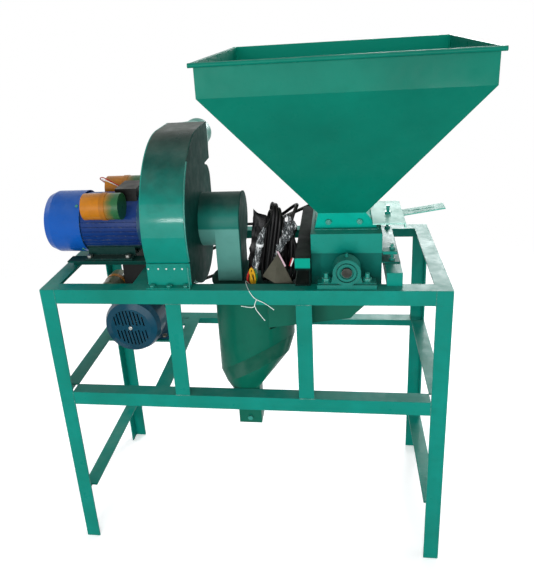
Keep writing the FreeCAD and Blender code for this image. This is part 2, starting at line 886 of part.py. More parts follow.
def build_impeller():
    """Back plate, hub and straight radial blades, keyed to the motor's shaft."""
    d = dims
    body = new_body("fan_impeller", fan_axis(d.casing_left + 14))
    plate = sketch_on(body, "YZ")
    draw_circle(plate, d.impeller_radius)
    draw_circle(plate, d.motor_shaft_radius)
    feature(body, "Pad", plate, Length=3)
    hub = sketch_on(body, "YZ", -30)
    draw_circle(hub, d.impeller_hub_radius)
    draw_circle(hub, d.motor_shaft_radius)
    feature(body, "Pad", hub, Length=66)
    blade = sketch_on(body, "YZ")
    draw_polygon(blade, [(d.impeller_hub_radius - 1, -1.5), (d.impeller_radius - 2, -1.5),
                         (d.impeller_radius - 2, 1.5), (d.impeller_hub_radius - 1, 1.5)])
    vane = feature(body, "Pad", blade, Length=d.impeller_width)
    around(body, vane, blade, d.impeller_blades)


def build_inlet():
    """Round suction pipe into the fan's eye, with a flat-fronted riser up from the tub."""
    d = dims
    wall = d.sheet_wall
    axis = fan_axis(d.casing_right + d.plate_wall)
    z = axis[2]
    front = d.fan_axis_place - d.inlet_radius
    length = d.inlet_end - axis[0]
    pipe = rod(d.inlet_radius, length, axis, "x")
    riser = slab((d.riser_left, d.inlet_end), (front, d.riser_back), (d.tub_top, z))
    bore = rod(d.inlet_radius - wall, length, axis, "x")
    shaft = slab((d.riser_left + wall, d.inlet_end), (front + wall, d.riser_back - wall),
                 (d.tub_top, z))
    sub_part("inlet_duct", cut(join(pipe, riser), bore, shaft))
    lip = d.inlet_radius + d.inlet_cap_lip
    disc = rod(lip, 3, (d.inlet_end, d.fan_axis_place, z), "x")
    apron = slab((d.inlet_end, d.inlet_end + 3), (front, d.riser_back), (d.tub_top, z))
    sub_part("inlet_end_cap", join(disc, apron))


def sheared(shape):
    """The shape pushed up or down so that its levels follow the tub's slanted joint."""
    d = dims
    tilt = FreeCAD.Matrix()
    tilt.A31 = d.tub_rise_side.value
    tilt.A32 = -d.tub_rise_front.value
    return shape.transformGeometry(tilt)


def build_tub():
    """Settling tub: cover plate, rolled shell, slanted cone and square discharge spout."""
    d = dims
    wall = d.sheet_wall
    x, y = d.tub_place, d.sheller_middle
    cover = rod(d.tub_radius + d.tub_cover_over, d.tub_cover_wall, (x, y, d.chute_roof))
    hole = slab((d.riser_left + wall, d.inlet_end),
                (d.fan_axis_place - d.inlet_radius + wall, d.riser_back - wall),
                (d.chute_roof, d.tub_top))
    sub_part("tub_cover", cut(cover, hole))

    radius = d.tub_radius.value
    shell = doc.addObject("Part::Feature", "tub_shell")
    height = (d.chute_roof - d.tub_split).value
    long_tube = Part.makeCylinder(radius, 2 * height, V(0, 0, -height))
    long_tube = long_tube.cut(Part.makeCylinder(radius - wall.value, 2 * height, V(0, 0, -height)))
    wide = 4 * radius
    below = sheared(Part.makeBox(wide, wide, wide, V(-wide / 2, -wide / 2, -wide)))
    half = d.chute_half_depth.value - wall.value
    mouth = Part.makeBox(2 * radius, 2 * half,
                         d.chute_roof.value - d.chute_floor.value - 2 * wall.value,
                         V(0, -half, d.chute_floor.value + wall.value - d.tub_split.value))
    shell.Shape = long_tube.cut(below).cut(mouth)
    settle(shell, "tub_shell", (x, y, d.tub_split))

    cone = doc.addObject("Part::Feature", "tub_cone")
    left, right = (d.spout_left - x).value, (d.spout_right - x).value
    front, back = (d.spout_front - y).value, (d.spout_back - y).value
    drop = d.cone_drop.value

    def funnel(inset):
        ring = Part.Wire([Part.Circle(V(0, 0, 0), V(0, 0, 1), radius - inset).toShape()])
        ends = [V(left + inset, front + inset, -drop), V(right - inset, front + inset, -drop),
                V(right - inset, back - inset, -drop), V(left + inset, back - inset, -drop)]
        square = Part.makePolygon(ends + ends[:1])
        centre = V(radius * 0.07, (front + back) * 0.26, -drop * 0.42)
        waist = Part.Wire([Part.Circle(centre, V(0, 0, 1), radius * 0.82 - inset).toShape()])
        upper = Part.makeLoft([ring, waist], True, True)
        return upper.fuse(Part.makeLoft([waist, square], True, True)).removeSplitter()

    cone.Shape = sheared(funnel(0).cut(funnel(wall.value)))
    settle(cone, "tub_cone", (x, y, d.tub_split))

    spout = doc.addObject("Part::Feature", "tub_spout")
    bottom = d.spout_bottom.value - d.tub_split.value
    tall = d.tub_height.value + d.spout_drop.value

    def chimney(inset):
        return Part.makeBox(right - left - 2 * inset, back - front - 2 * inset, tall,
                            V(left + inset, front + inset, bottom))

    above = sheared(Part.makeBox(4 * radius, 4 * radius, tall, V(-2 * radius, -2 * radius, -drop)))
    pipe = chimney(0).cut(chimney(wall.value)).cut(above)
    bolt_level = bottom + d.spout_bolt_rise.value
    bolt_hole = Part.makeCylinder(4.2, 10, V((left + right) / 2, front - 4, bolt_level), V(0, 1, 0))
    spout.Shape = pipe.cut(bolt_hole)
    settle(spout, "tub_spout", (x, y, d.tub_split))


def build_supports():
    """The channel and the box beam that carry the sheller head across the frame."""
    d = dims
    wall = d.angle_wall
    inner = d.sheller_place - d.housing_half_width
    outer = inner - d.channel_width
    y = (-d.channel_front, d.channel_front)
    low, high = d.frame_height, d.cover_bottom + wall + d.channel_rise
    web = slab((inner - wall, inner), y, (low, high))
    flanges = [slab((outer, inner - wall), y, ends)
               for ends in ((low, low + wall), (high - wall, high))]
    lip = slab((outer, inner - wall), (-d.channel_front, wall - d.channel_front),
               (high - d.channel_lip, high - wall))
    sub_part("left_support_channel", join(web, *flanges, lip))

    near = d.sheller_place + d.housing_half_width + 8
    whole = slab((near, near + d.beam_width), y, (low, low + d.beam_height))
    bore = slab((near + wall, near + d.beam_width - wall), (wall - d.channel_front, d.channel_front),
                (low + wall, low + d.beam_height - wall))
    sub_part("right_support_beam", cut(whole, bore))


def sheller_axis(y):
    """A point on the drum's shaft line."""
    d = dims
    return (d.sheller_place, y, d.frame_height + d.shaft_above)


def build_housing():
    """Lower housing round the drum, its cover, and the bar screen under the drum."""
    d = dims
    wall = d.housing_wall
    x = (d.sheller_place - d.housing_half_width, d.sheller_place + d.housing_half_width)
    y = (d.sheller_middle - d.housing_half_depth, d.sheller_middle + d.housing_half_depth)
    inner_y = (y[0] + d.cover_overhang, y[1] - d.cover_overhang)
    shell = slab(x, inner_y, (d.housing_bottom, d.cover_bottom))
    inside = slab((x[0] + wall, x[1] - wall), (inner_y[0] + wall, inner_y[1] - wall),
                  (d.housing_bottom, d.cover_bottom))
    ledge_top = d.frame_height + d.beam_height + wall
    ledge = slab((x[1], x[1] + 8 + d.beam_width), inner_y, (ledge_top - wall, ledge_top))
    holes = rod(d.main_shaft_radius + 3, 2 * d.housing_half_depth + 2, sheller_axis(y[0] - 1), "y")
    ledge_holes = [rod(4.5, wall, (x[1] + 26, d.sheller_middle + side * d.tie_bolt_half, ledge_top - wall))
                   for side in (-1, 1)]
    sub_part("lower_housing", cut(join(shell, ledge), inside, holes, *ledge_holes))

    low, high = d.cover_bottom, d.cover_top
    box = slab(x, y, (low, high))
    hollow = slab((x[0] + wall, x[1] - wall), (y[0] + wall, y[1] - wall), (low, high - wall))
    mouth = slab((d.neck_base_left + wall, d.neck_base_right - wall),
                 (d.sheller_middle - d.neck_base_half + wall,
                  d.sheller_middle + d.neck_base_half - wall), (high - wall, high))
    flange = slab((x[1], x[1] + d.cover_flange), (y[0] + 3, y[1] - 6), (low, low + wall))
    lip = slab((x[1] + 2, x[1] + d.cover_flange), (y[0] + 3, y[0] + 3 + wall), (low - 5, low))
    bolts = [rod(4.5, wall, (x[1] + 26, d.sheller_middle + side * d.tie_bolt_half, low)) for side in (-1, 1)]
    sills = [slab((x[0] + 1, x[1] - 1), ends, (low, low + wall))
             for ends in ((y[0] + 1, inner_y[0]), (inner_y[1], y[1] - 1))]
    sub_part("upper_cover", join(cut(join(box, flange, lip), hollow, mouth, *bolts), *sills))
    build_screen(x, inner_y)


def build_screen(x, y):
    """Half-round screen of bars between two end hoops, below the drum."""
    d = dims
    wall = d.housing_wall
    centre = sheller_axis(y[0] + wall)
    length = y[1] - y[0] - 2 * wall
    radius = d.screen_radius
    hoops = []
    for start in (0, length - 8):
        at = (centre[0], centre[1] + start, centre[2])
        hoops.append(tube(radius + d.screen_wall, radius, 8, at, "y"))
    bars = []
    count = int(d.screen_bars.value)
    for index in range(count):
        angle = math.radians(180 + 180 * (index + 0.5) / count)
        reach = radius + d.screen_wall / 2
        at = (centre[0] + reach * math.cos(angle), centre[1],
              centre[2] + reach * math.sin(angle))
        bars.append(rod(d.screen_wall / 2 + 0.5, length, at, "y"))
    keep = slab((x[0] + wall, x[1] - wall), y, (d.housing_bottom, centre[2] - 2))
    ears = [slab((centre[0] + side * (radius + 1), centre[0] + side * (d.housing_half_width - wall)),
                 (y[0] + wall, y[1] - wall), (centre[2] - 6, centre[2] - 2)) for side in (-1, 1)]
    sub_part("bar_screen", join(common(join(*hoops, *bars), keep), *ears))


def build_drum():
    """Shelling drum with rasp bars, and its through shaft."""
    d = dims
    start = d.sheller_middle - d.drum_length / 2
    x, y, z = sheller_axis(start)
    body = new_body("shelling_drum", (x, y, z), TURNS["y"])
    core = sketch_on(body, "XY")
    draw_circle(core, d.drum_radius)
    draw_circle(core, d.drum_radius - 6)
    feature(body, "Pad", core, Length=d.drum_length)
    for level in (0, d.drum_length - 8):
        end = sketch_on(body, "XY", level)
        draw_circle(end, d.drum_radius - 1)
        draw_circle(end, d.main_shaft_radius)
        feature(body, "Pad", end, Length=8)
    bar = sketch_on(body, "XY")
    half = d.bar_width / 2
    draw_polygon(bar, [(d.drum_radius - 2, -half), (d.drum_radius + d.bar_height, -half),
                       (d.drum_radius + d.bar_height, half - 3), (d.drum_radius - 2, half)])
    rasp = feature(body, "Pad", bar, Length=d.drum_length)
    around(body, rasp, bar, d.drum_bars)

    front = -d.bearing_place - d.bearing_depth / 2 - 1
    reach = d.belt_plane + d.pulley_width / 2 + 6
    shaft = rod(d.main_shaft_radius, reach - front, sheller_axis(front), "y")
    sub_part("main_shaft", shaft)


def build_bearings():
    """Cast pillow blocks on the front and back rails, with their ball bearing inserts."""
    d = dims
    blocks, inserts = [], []
    for side in (-1, 1):
        low = side * d.bearing_place - d.bearing_depth / 2
        middle = side * d.bearing_place
        x, y, z = sheller_axis(low)
        block = doc.addObject("PartDesign::Body", "PillowForm")
        flank = sketch_on(block, "XZ", -d.bearing_web_depth / 2)
        half, slope = d.bearing_base_half, d.bearing_radius
        high = d.bearing_base_height
        draw_polygon(flank, [(-half, 0), (half, 0), (half, high - 3), (half - 3, high),
                             (slope + 4, high), (slope - 1, d.shaft_above - 6),
                             (1 - slope, d.shaft_above - 6), (-slope - 4, high), (3 - half, high),
                             (-half, high - 3)])
        feature(block, "Pad", flank, Length=d.bearing_web_depth)
        placed = grouped([block], (d.sheller_place, middle, d.frame_height), TURNS["z"])
        base = slab((x - half, x + half), (low, low + d.bearing_depth),
                    (d.frame_height, d.frame_height + high - 2))
        pads = [rod(13, high + 2, (*spot, d.frame_height)) for spot in bearing_bolt_places(side)]
        ring = rod(d.bearing_radius, d.bearing_depth, (x, low, z), "y")
        nipple = join(rod(3.2, 12, (x, middle, z + d.bearing_radius - 2)),
                      rod(4.6, 4, (x, middle, z + d.bearing_radius + 2)))
        bolt_holes = [rod(d.bearing_bolt_radius + 1, high + 4, (*spot, d.frame_height - 1))
                      for spot in bearing_bolt_places(side)]
        seat = rod(d.bearing_insert_radius, d.bearing_depth, (x, low, z), "y")
        blocks.append(cut(join(placed, base, ring, nipple, *pads), seat, *bolt_holes))
        inserts.append(bearing_insert(side, x, z))
    sub_part("bearing_blocks", *blocks)
    sub_part("bearing_inserts", *inserts)


def bearing_insert(side, x, z):
    """Outer ring, shield and the locking collar that stands out towards the machine's edge."""
    d = dims
    half = d.bearing_depth / 2
    bore = d.main_shaft_radius + d.running_gap
    middle = side * d.bearing_place
    body = tube(d.bearing_insert_radius, bore, d.bearing_depth - 12, (x, middle - half + 6, z), "y")
    edge = (middle + side * (half - 6), middle + side * (half - 6 + d.bearing_collar_length))
    low, high = span(*edge)
    collar = tube(d.bearing_collar_radius, d.bearing_collar_bore, high - low, (x, low, z), "y")
    return join(body, collar)


def build_pulley(label, at, radius, bore):
    """A turned V-pulley with its hub, along Y."""
    d = dims
    body = new_body(label, at, TURNS["y"])
    half, lip = d.pulley_width / 2, d.belt_top_width / 2
    floor = d.belt_top_width / 2 - d.belt_depth * 0.35
    depth = d.belt_depth + 2
    profile = sketch_on(body, "XZ")
    draw_polygon(profile, [(bore, -half), (radius, -half), (radius, -lip),
                           (radius - depth, -floor), (radius - depth, floor), (radius, lip),
                           (radius, half), (bore, half)])
    turned(body, "Revolution", profile)
    if radius.value > 50:
        relief = sketch_on(body, "XY", half)
        draw_circle(relief, radius - depth - 6)
        draw_circle(relief, bore + 12)
        feature(body, "Pocket", relief, Length=7)


def build_drive():
    """Pulleys and the V-belt loop behind the frame."""
    d = dims
    drum_x, _, drum_z = sheller_axis(0)
    motor_x, motor_z = d.sheller_motor_place, d.mid_height + d.motor_shaft_height
    build_pulley("drum_pulley", (drum_x, d.belt_plane, drum_z), d.drum_pulley_radius,
                 d.main_shaft_radius)
    build_pulley("motor_pulley", (motor_x, d.belt_plane, motor_z), d.motor_pulley_radius,
                 d.motor_shaft_radius)

    belt = doc.addObject("Part::Feature", "drive_belt")
    across, rise = (drum_x - motor_x).value, (drum_z - motor_z).value
    big, small = d.drum_pulley_radius.value, d.motor_pulley_radius.value
    edges = belt_edges(big, small, math.hypot(across, rise))
    path = Part.Wire(edges)
    start = edges[0].Vertexes[0].Point
    along = edges[0].tangentAt(edges[0].FirstParameter)
    out = along.cross(V(0, 0, 1)) * -1
    wide, narrow = d.belt_top_width.value / 2 - 0.5, d.belt_top_width.value / 2 - 2.6
    top, bottom = 1.0, 1.0 - d.belt_depth.value
    corners = [start + out * level + V(0, 0, side) for level, side in
               ((top, -wide), (top, wide), (bottom, narrow), (bottom, -narrow), (top, -wide))]
    belt.Shape = path.makePipeShell([Part.makePolygon(corners)], True, False)
    heading = FreeCAD.Rotation(V(0, 0, 1), math.degrees(math.atan2(rise, across)))
    upright = FreeCAD.Rotation(V(1, 0, 0), 90)
    settle(belt, "drive_belt", (motor_x, d.belt_plane, motor_z), upright.multiply(heading))


def belt_edges(big, small, apart):
    """Two straight runs and two wraps round pulleys on the X axis, small one at zero."""
    tilt = math.asin((big - small) / apart)
    up = V(-math.sin(tilt), math.cos(tilt), 0)
    down = V(-math.sin(tilt), -math.cos(tilt), 0)
    far = V(apart, 0, 0)
    a, b = up * small, far + up * big
    c, e = far + down * big, down * small
    return [Part.LineSegment(a, b).toShape(),
            Part.Arc(b, far + V(big, 0, 0), c).toShape(),
            Part.LineSegment(c, e).toShape(),
            Part.Arc(e, V(-small, 0, 0), a).toShape()]


def build_hopper():
    """Folded sheet hopper with an upright band and a rolled rim, and the neck under it."""
    d = dims
    wall = d.hopper_wall
    at = (d.hopper_place, d.sheller_middle, 0)
    hopper = new_body("feed_hopper", at)
    levels = [(d.neck_top, d.neck_half_length, d.neck_half_width),
              (d.hopper_top - d.hopper_band, d.hopper_half_length, d.hopper_half_width),
              (d.hopper_top, d.hopper_half_length, d.hopper_half_width)]
    for kind, inset in (("AdditiveLoft", 0), ("SubtractiveLoft", wall)):
        sections = [rectangle(hopper, level, (inset - length, length - inset),
                              (inset - width, width - inset)) for level, length, width in levels]
        loft(hopper, kind, sections)

    length, width = d.hopper_half_length, d.hopper_half_width
    bead, level = d.rim_radius, d.hopper_top - d.rim_radius
    rim = [tube(bead, bead - 1.2, 2 * (length + 2 * bead),
                (-length - 2 * bead, side * (width + bead), level), "x") for side in (-1, 1)]
    ends = [rod(bead, 2 * (length + 2 * bead),
                (-length - 2 * bead, side * (width + bead), level), "x") for side in (-1, 1)]
    for side in (-1, 1):
        bar = rod(bead, 2 * (width + bead), (side * (length + bead), -width - bead, level), "y")
        rim.append(cut(bar, *ends))
    sub_part("hopper_rim", *rim, at=at)

    neck = doc.addObject("PartDesign::Body", "NeckForm")
    for kind, inset in (("AdditiveLoft", 0), ("SubtractiveLoft", d.housing_wall)):
        base = rectangle(neck, d.cover_top, (d.neck_base_left + inset, d.neck_base_right - inset),
                         (inset - d.neck_base_half, d.neck_base_half - inset))
        top = rectangle(neck, d.neck_top, (d.hopper_place - d.neck_half_length + inset,
                                           d.hopper_place + d.neck_half_length - inset),
                        (inset - d.neck_half_width, d.neck_half_width - inset))
        loft(neck, kind, [base, top])
    slot = sketch_on(neck, "YZ", d.hopper_place)
    gap = d.clearance
    half = d.gate_half_width + gap
    draw_polygon(slot, [(-half, d.gate_level - gap), (half, d.gate_level - gap),
                        (half, d.gate_level + d.gate_wall + gap),
                        (-half, d.gate_level + d.gate_wall + gap)])
    feature(neck, "Pocket", slot, Length=150, Reversed=True)
    holes = [rod(4.2, 30, (x, -d.neck_half_width - 4, d.neck_bolt_level), "y")
             for x in neck_bolt_places()]
    sub_part("hopper_neck", cut(neck, *holes), at=(0, d.sheller_middle, 0))
    bolts = []
    for x in neck_bolt_places():
        face = neck_edge(d.neck_base_half, d.neck_half_width, d.neck_bolt_level)
        head = cut(hexagon(13, 10, (x, -face - 9, d.neck_bolt_level), "y"), neck)
        bolts.append(join(head, rod(4, 18, (x, -face - 11, d.neck_bolt_level), "y")))
    sub_part("neck_bolts", *bolts, at=(0, d.sheller_middle, 0))


def neck_bolt_places():
    """Where the two bolts stand on the neck's front."""
    return dims.hopper_place - 34, dims.hopper_place + 44


def neck_edge(base, top, level):
    """How far out one side of the neck is at a level, from its ends' distances."""
    d = dims
    return base + (top - base) * (level - d.cover_top) / (d.neck_top - d.cover_top)


def build_gate():
    """Sliding feed gate with a bent-up handle, and the fixed guide plate over it."""
    d = dims
    gap = d.clearance
    low, high = d.gate_level, d.gate_level + d.gate_wall
    right = d.guide_right
    blade = slab((d.gate_inner_end, right + 3), (-d.gate_half_width, d.gate_half_width), (low, high))
    trim = [slab((right - 18, right + 3), (side * (d.handle_half_width + 4), side * d.gate_half_width),
                 (low, high)) for side in (-1, 1)]
    grip = slab((0, d.handle_length), (-d.handle_half_width, d.handle_half_width),
                (0, d.gate_wall))
    slot = slab((14, d.handle_length - 26), (-2.5, 2.5), (0, d.gate_wall))
    handle = cut(grip, slot)
    handle.Placement = FreeCAD.Placement(V(), FreeCAD.Rotation(V(0, 1, 0), 1))
    put(handle, (right, 0, low))
    handle.setExpression("Placement.Rotation.Angle", "dims.handle_rise * 1 deg")
    handle.setExpression("Placement.Rotation.Axis.y", "-1")
    sub_part("feed_gate", join(cut(blade, *trim), handle), at=(0, d.sheller_middle, 0))

    left = neck_edge(d.neck_base_right, d.hopper_place + d.neck_half_length, high + gap)
    y = (-d.guide_front, d.guide_back)
    plate = slab((left, right), y, (high + gap, high + gap + 3))
    back_lip = slab((left, right), (d.guide_back - 3, d.guide_back),
                    (high + gap - d.guide_lip, high + gap))
    end_lips = [slab((right - 3, right), ends, (high + gap - d.guide_lip, high + gap))
                for ends in ((-d.guide_front, -d.gate_half_width - 1),
                             (d.gate_half_width + 1, d.guide_back))]
    runners = []
    for side in (-1, 1):
        edge = side * (d.gate_half_width + gap)
        runners.append(slab((left + 14, right - 22), (edge, edge + side * 3),
                            (low - gap - 2, high + gap)))
        runners.append(slab((left + 14, right - 22), (edge - side * 8, edge + side * 3),
                            (low - gap - 2, low - gap)))
    screw_hole = rod(4.2, 3, (right - 38, -20, high + gap))
    sub_part("gate_guide", cut(join(plate, back_lip, *end_lips, *runners), screw_hole),
             at=(0, d.sheller_middle, 0))
    shank = rod(4, 26, (right - 38, -20, high + gap))
    nut = rod(7.5, 7, (right - 38, -20, high + gap + 3))
    sub_part("gate_clamp_screw", join(shank, nut), at=(0, d.sheller_middle, 0))


def build_chute():
    """Open-topped chute that leads the shelled seed from the housing into the tub."""
    d = dims
    wall = d.sheet_wall
    left = d.tub_place
    right = d.sheller_place + d.housing_half_width
    mouth_left = d.sheller_place - d.housing_half_width
    floor, roof = d.chute_floor, d.chute_roof

    def profile(inset, lift):
        return [(left, floor + inset),
                (d.chute_floor_right - inset * 0.5, floor + d.chute_floor_rise + inset),
                (right - inset * 1.3, roof + lift), (mouth_left + inset, roof + lift),
                (mouth_left + inset, roof - inset), (left, roof - inset)]

    body = doc.addObject("PartDesign::Body", "ChuteForm")
    outer = sketch_on(body, "XZ", -d.chute_half_depth)
    draw_polygon(outer, profile(as_size(0), 3))
    feature(body, "Pad", outer, Length=2 * d.chute_half_depth)
    inner = sketch_on(body, "XZ", wall - d.chute_half_depth)
    draw_polygon(inner, profile(wall, 4))
    feature(body, "Pocket", inner, Length=2 * (d.chute_half_depth - wall), Reversed=True)
    tub = rod(d.tub_radius, d.tub_top - floor, (d.tub_place, 0, floor - 1))
    sub_part("discharge_chute", cut(body, tub), at=(0, d.sheller_middle, 0))


def hexagon(across, height, at, along="z"):
    """A hexagon head or nut."""
    head = doc.addObject("Part::Prism", "Hexagon")
    head.Polygon = 6
    head.Placement = FreeCAD.Placement(V(), TURNS[along])
    bind(head, "Circumradius", as_size(across) / 1.732)
    bind(head, "Height", height)
    put(head, at)
    return head


def build_fasteners():
    """Bolts, each group of one kind in one node."""
    d = dims
    top = d.frame_height
    feet = []
    for side in (-1, 1):
        for z in motor_foot_places(d.fan_cover_length):
            x = d.fan_motor_end + z
            y = d.fan_axis_place + side * d.motor_foot_spacing / 2
            level = top + d.rail_height
            feet.append(join(hexagon(15, 6, (x, y, level + d.motor_foot_wall)),
                             rod(4.5, d.motor_foot_wall, (x, y, level))))
        for z in motor_foot_places(d.sheller_cover_length):
            x = d.sheller_motor_place - side * d.motor_foot_spacing / 2
            y = d.sheller_motor_end + z
            feet.append(join(hexagon(15, 6, (x, y, d.mid_height + d.motor_foot_wall)),
                             rod(4.5, d.motor_foot_wall, (x, y, d.mid_height))))
    sub_part("motor_foot_bolts", *feet)

    heavy = []
    under = top - d.angle_wall
    for side in (-1, 1):
        for x, y in bearing_bolt_places(side):
            seat = top + d.bearing_base_height + 2
            heavy.append(join(hexagon(18, 8, (x, y, seat)),
                              rod(d.bearing_bolt_radius, seat - under + 34, (x, y, under - 14)),
                              hexagon(18, 9, (x, y, under - 9))))
    sub_part("bearing_bolts", *heavy)

    light = []
    for side in (-1, 1):
        for x, y in skirt_bolt_places(side):
            light.append(join(hexagon(13, 5, (x, y, top + d.plate_wall)),
                              rod(4, 19, (x, y, under - 12)), hexagon(13, 6, (x, y, under - 6))))
    ledge = top + d.beam_height + d.housing_wall
    for side in (-1, 1):
        x = d.sheller_place + d.housing_half_width + 26
        y = d.sheller_middle + side * d.tie_bolt_half
        high = d.cover_bottom + d.housing_wall
        light.append(join(rod(4, high - ledge + 14, (x, y, ledge)),
                          hexagon(13, 6, (x, y, high)), hexagon(13, 6, (x, y, ledge))))
    front, middle = d.spout_front, (d.spout_left + d.spout_right) / 2
    height = d.spout_bottom + d.spout_bolt_rise
    light.append(join(hexagon(13, 5.5, (middle, front - 5.5, height), "y"),
                      rod(4, 14, (middle, front - 5.5, height), "y")))
    share("light_bolts", light, (0, 0, 0), TURNS["z"])


def foot_rail(x, middle, top):
    """An unequal steel angle under one row of motor feet, its short flange at the back."""
    d = dims
    y = (middle - d.angle_flange / 2, middle + d.angle_flange / 2)
    level = slab(x, y, (top - d.angle_wall, top))
    flange = slab(x, (y[1] - d.angle_wall, y[1]), (top - d.rail_height, top - d.angle_wall))
    return join(level, flange)


def build_motor_supports():
    """Channels under the fan's motor and angles under the shelling motor."""
    d = dims
    flange = d.angle_flange
    drop = d.rail_height
    x = (d.fan_rail_start, flange / 2 - d.top_cross_place)
    rails = []
    for side in (-1, 1):
        middle = d.fan_axis_place + side * d.motor_foot_spacing / 2
        rails.append(foot_rail(x, middle, d.frame_height + drop))
    sub_part("fan_motor_rails", *rails)

    x = (flange - d.frame_length / 2, -d.mid_cross_place - flange / 2)
    beams = [foot_rail(x, d.sheller_motor_end + z, d.mid_height)
             for z in motor_foot_places(d.sheller_cover_length)]
    sub_part("sheller_motor_beams", *beams)


LEAD_ROUTE = [(-304, 37, 1044), (-304, 82, 1044), (-302, 128, 1026), (-299, 164, 988),
              (-294, 190, 938), (-280, 210, 894), (-238, 220, 873), (-178, 219, 871),
              (-116, 222, 870), (-66, 218, 855), (-18, 200, 851), (22, 166, 862),
              (46, 122, 890), (62, 82, 926), (76, 38, 962), (94, 2, 978), (106, -34, 986),
              (106, -70, 986)]
TAIL_ROUTE = [(66, -126, 985), (66, -151, 985), (64, -169, 967), (60, -171, 932),
              (54, -167, 893), (47, -158, 858)]


def cord_tube(route):
    """A round cable along straight runs joined by arcs, as large as each pair of runs allows."""
    radius = dims.cable_radius.value
    points = [V(*point) for point in route]
    edges, start, bends = [], points[0], []
    for before, corner, after in zip(points, points[1:], points[2:]):
        into, out = corner - before, after - corner
        half_turn = into.getAngle(out) / 2
        trim = 0.45 * min(into.Length, out.Length)
        bends.append(trim / math.tan(half_turn))
        first = corner - into.normalize() * trim
        last = corner + out.normalize() * trim
        inward = (first + last) * 0.5 - corner
        depth = bends[-1] / math.cos(half_turn) - bends[-1]
        middle = corner + inward.normalize() * depth
        edges += [Part.LineSegment(start, first).toShape(), Part.Arc(first, middle, last).toShape()]
        start = last
    edges.append(Part.LineSegment(start, points[-1]).toShape())
    path = Part.Wire(edges)
    ring = Part.Circle(points[0], points[1] - points[0], radius).toShape()
    solid = path.makePipeShell([Part.Wire([ring])], True, True)
    wanted = math.pi * radius ** 2 * path.Length
    print("cable %.0f mm long, bend radii %s, volume off by %.2f per cent"
          % (path.Length, [round(bend) for bend in bends], 100 * (solid.Volume / wanted - 1)))
    return solid


def build_cable():
    """The power cable from the fan motor, its hank on the tub cover and its bare end."""
    d = dims
    cable = doc.addObject("Part::Feature", "power_cable")
    cable.Shape = Part.makeCompound([cord_tube(LEAD_ROUTE), cord_tube(TAIL_ROUTE)])
    settle(cable, "power_cable")

    y = d.hank_depth - d.hank_thickness / 2
    low = d.tub_top + d.hank_radius * 0.88
    ends = [rod(d.hank_radius, d.hank_thickness, (d.hank_place, y, level), "y")
            for level in (low, low + d.hank_rise)]
    middle = slab((d.hank_place - d.hank_radius, d.hank_place + d.hank_radius),
                  (y, y + d.hank_thickness), (low, low + d.hank_rise))
    below = slab((d.hank_place - d.hank_radius, d.hank_place + d.hank_radius),
                 (y, y + d.hank_thickness), (d.tub_top - d.hank_radius, d.tub_top))
    sub_part("cable_hank", cut(join(*ends, middle), below))


def build_machine():
    """Every sub-part of the machine."""
    d = dims
    build_frame()
    build_motor_supports()
    fan_x, fan_y, fan_z = fan_axis(d.fan_motor_end)
    build_motor("fan_motor", (fan_x, fan_y, fan_z), TURNS["x"], d.fan_cover_length,
                d.fan_shaft_out, (d.fan_box_width, d.fan_box_rise, d.fan_box_start, d.fan_box_length,
                                  d.fan_cover_length + d.fan_capacitor_back))
    sideways = FreeCAD.Rotation(V(0, 0, 1), 90).multiply(TURNS["x"])
    build_motor("sheller_motor", (d.sheller_motor_place, d.sheller_motor_end,
                                  d.mid_height + d.motor_shaft_height),
                sideways, d.sheller_cover_length, d.sheller_shaft_out,
                (d.sheller_box_width, d.sheller_box_rise, d.sheller_box_start,
                 d.sheller_box_length, d.sheller_cover_length + d.sheller_capacitor_back))
    build_fan_casing()
    build_outlet()
    build_impeller()
    build_inlet()
    build_tub()
    build_chute()
    build_supports()
    build_housing()
    build_drum()
    build_bearings()
    build_drive()
    build_hopper()
    build_gate()
    build_fasteners()
    for label, groups in shared.items():
        sub_part(label, join(*groups))
    build_cable()


def check_and_write():
    """Stop on anything that failed, then write each sub-part's STEP file."""
    doc.recompute()
    for thing in doc.Objects:
        if "Invalid" in thing.State or "Error" in thing.State:
            raise RuntimeError("%s failed: %s" % (thing.Label, thing.State))
    for part in sub_parts:
        if part.Shape.isNull() or not part.Shape.isValid() or not part.Shape.Solids:
            raise RuntimeError("%s has no valid solid" % part.Label)
    os.makedirs("parts", exist_ok=True)
    for part in sub_parts:
        part.Shape.exportStep(os.path.join("parts", part.Label + ".step"))
        print("%-28s %3d solids" % (part.Label, len(part.Shape.Solids)))
    print(len(sub_parts), "sub-parts")


build_machine()
check_and_write()
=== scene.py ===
"""Looks of the seed sheller: its camera, paints, cable, small fittings, light and floor.

Points are written in millimetres from the middle of the stand at floor level, X to the
right, Y to the back and Z up, and `at` turns them into the model's own frame in metres.
Colours are written as screen colour codes, and `rgb` makes them linear.
"""
import math
import random

import bmesh
import bpy
from mathutils import Euler, Matrix, Vector


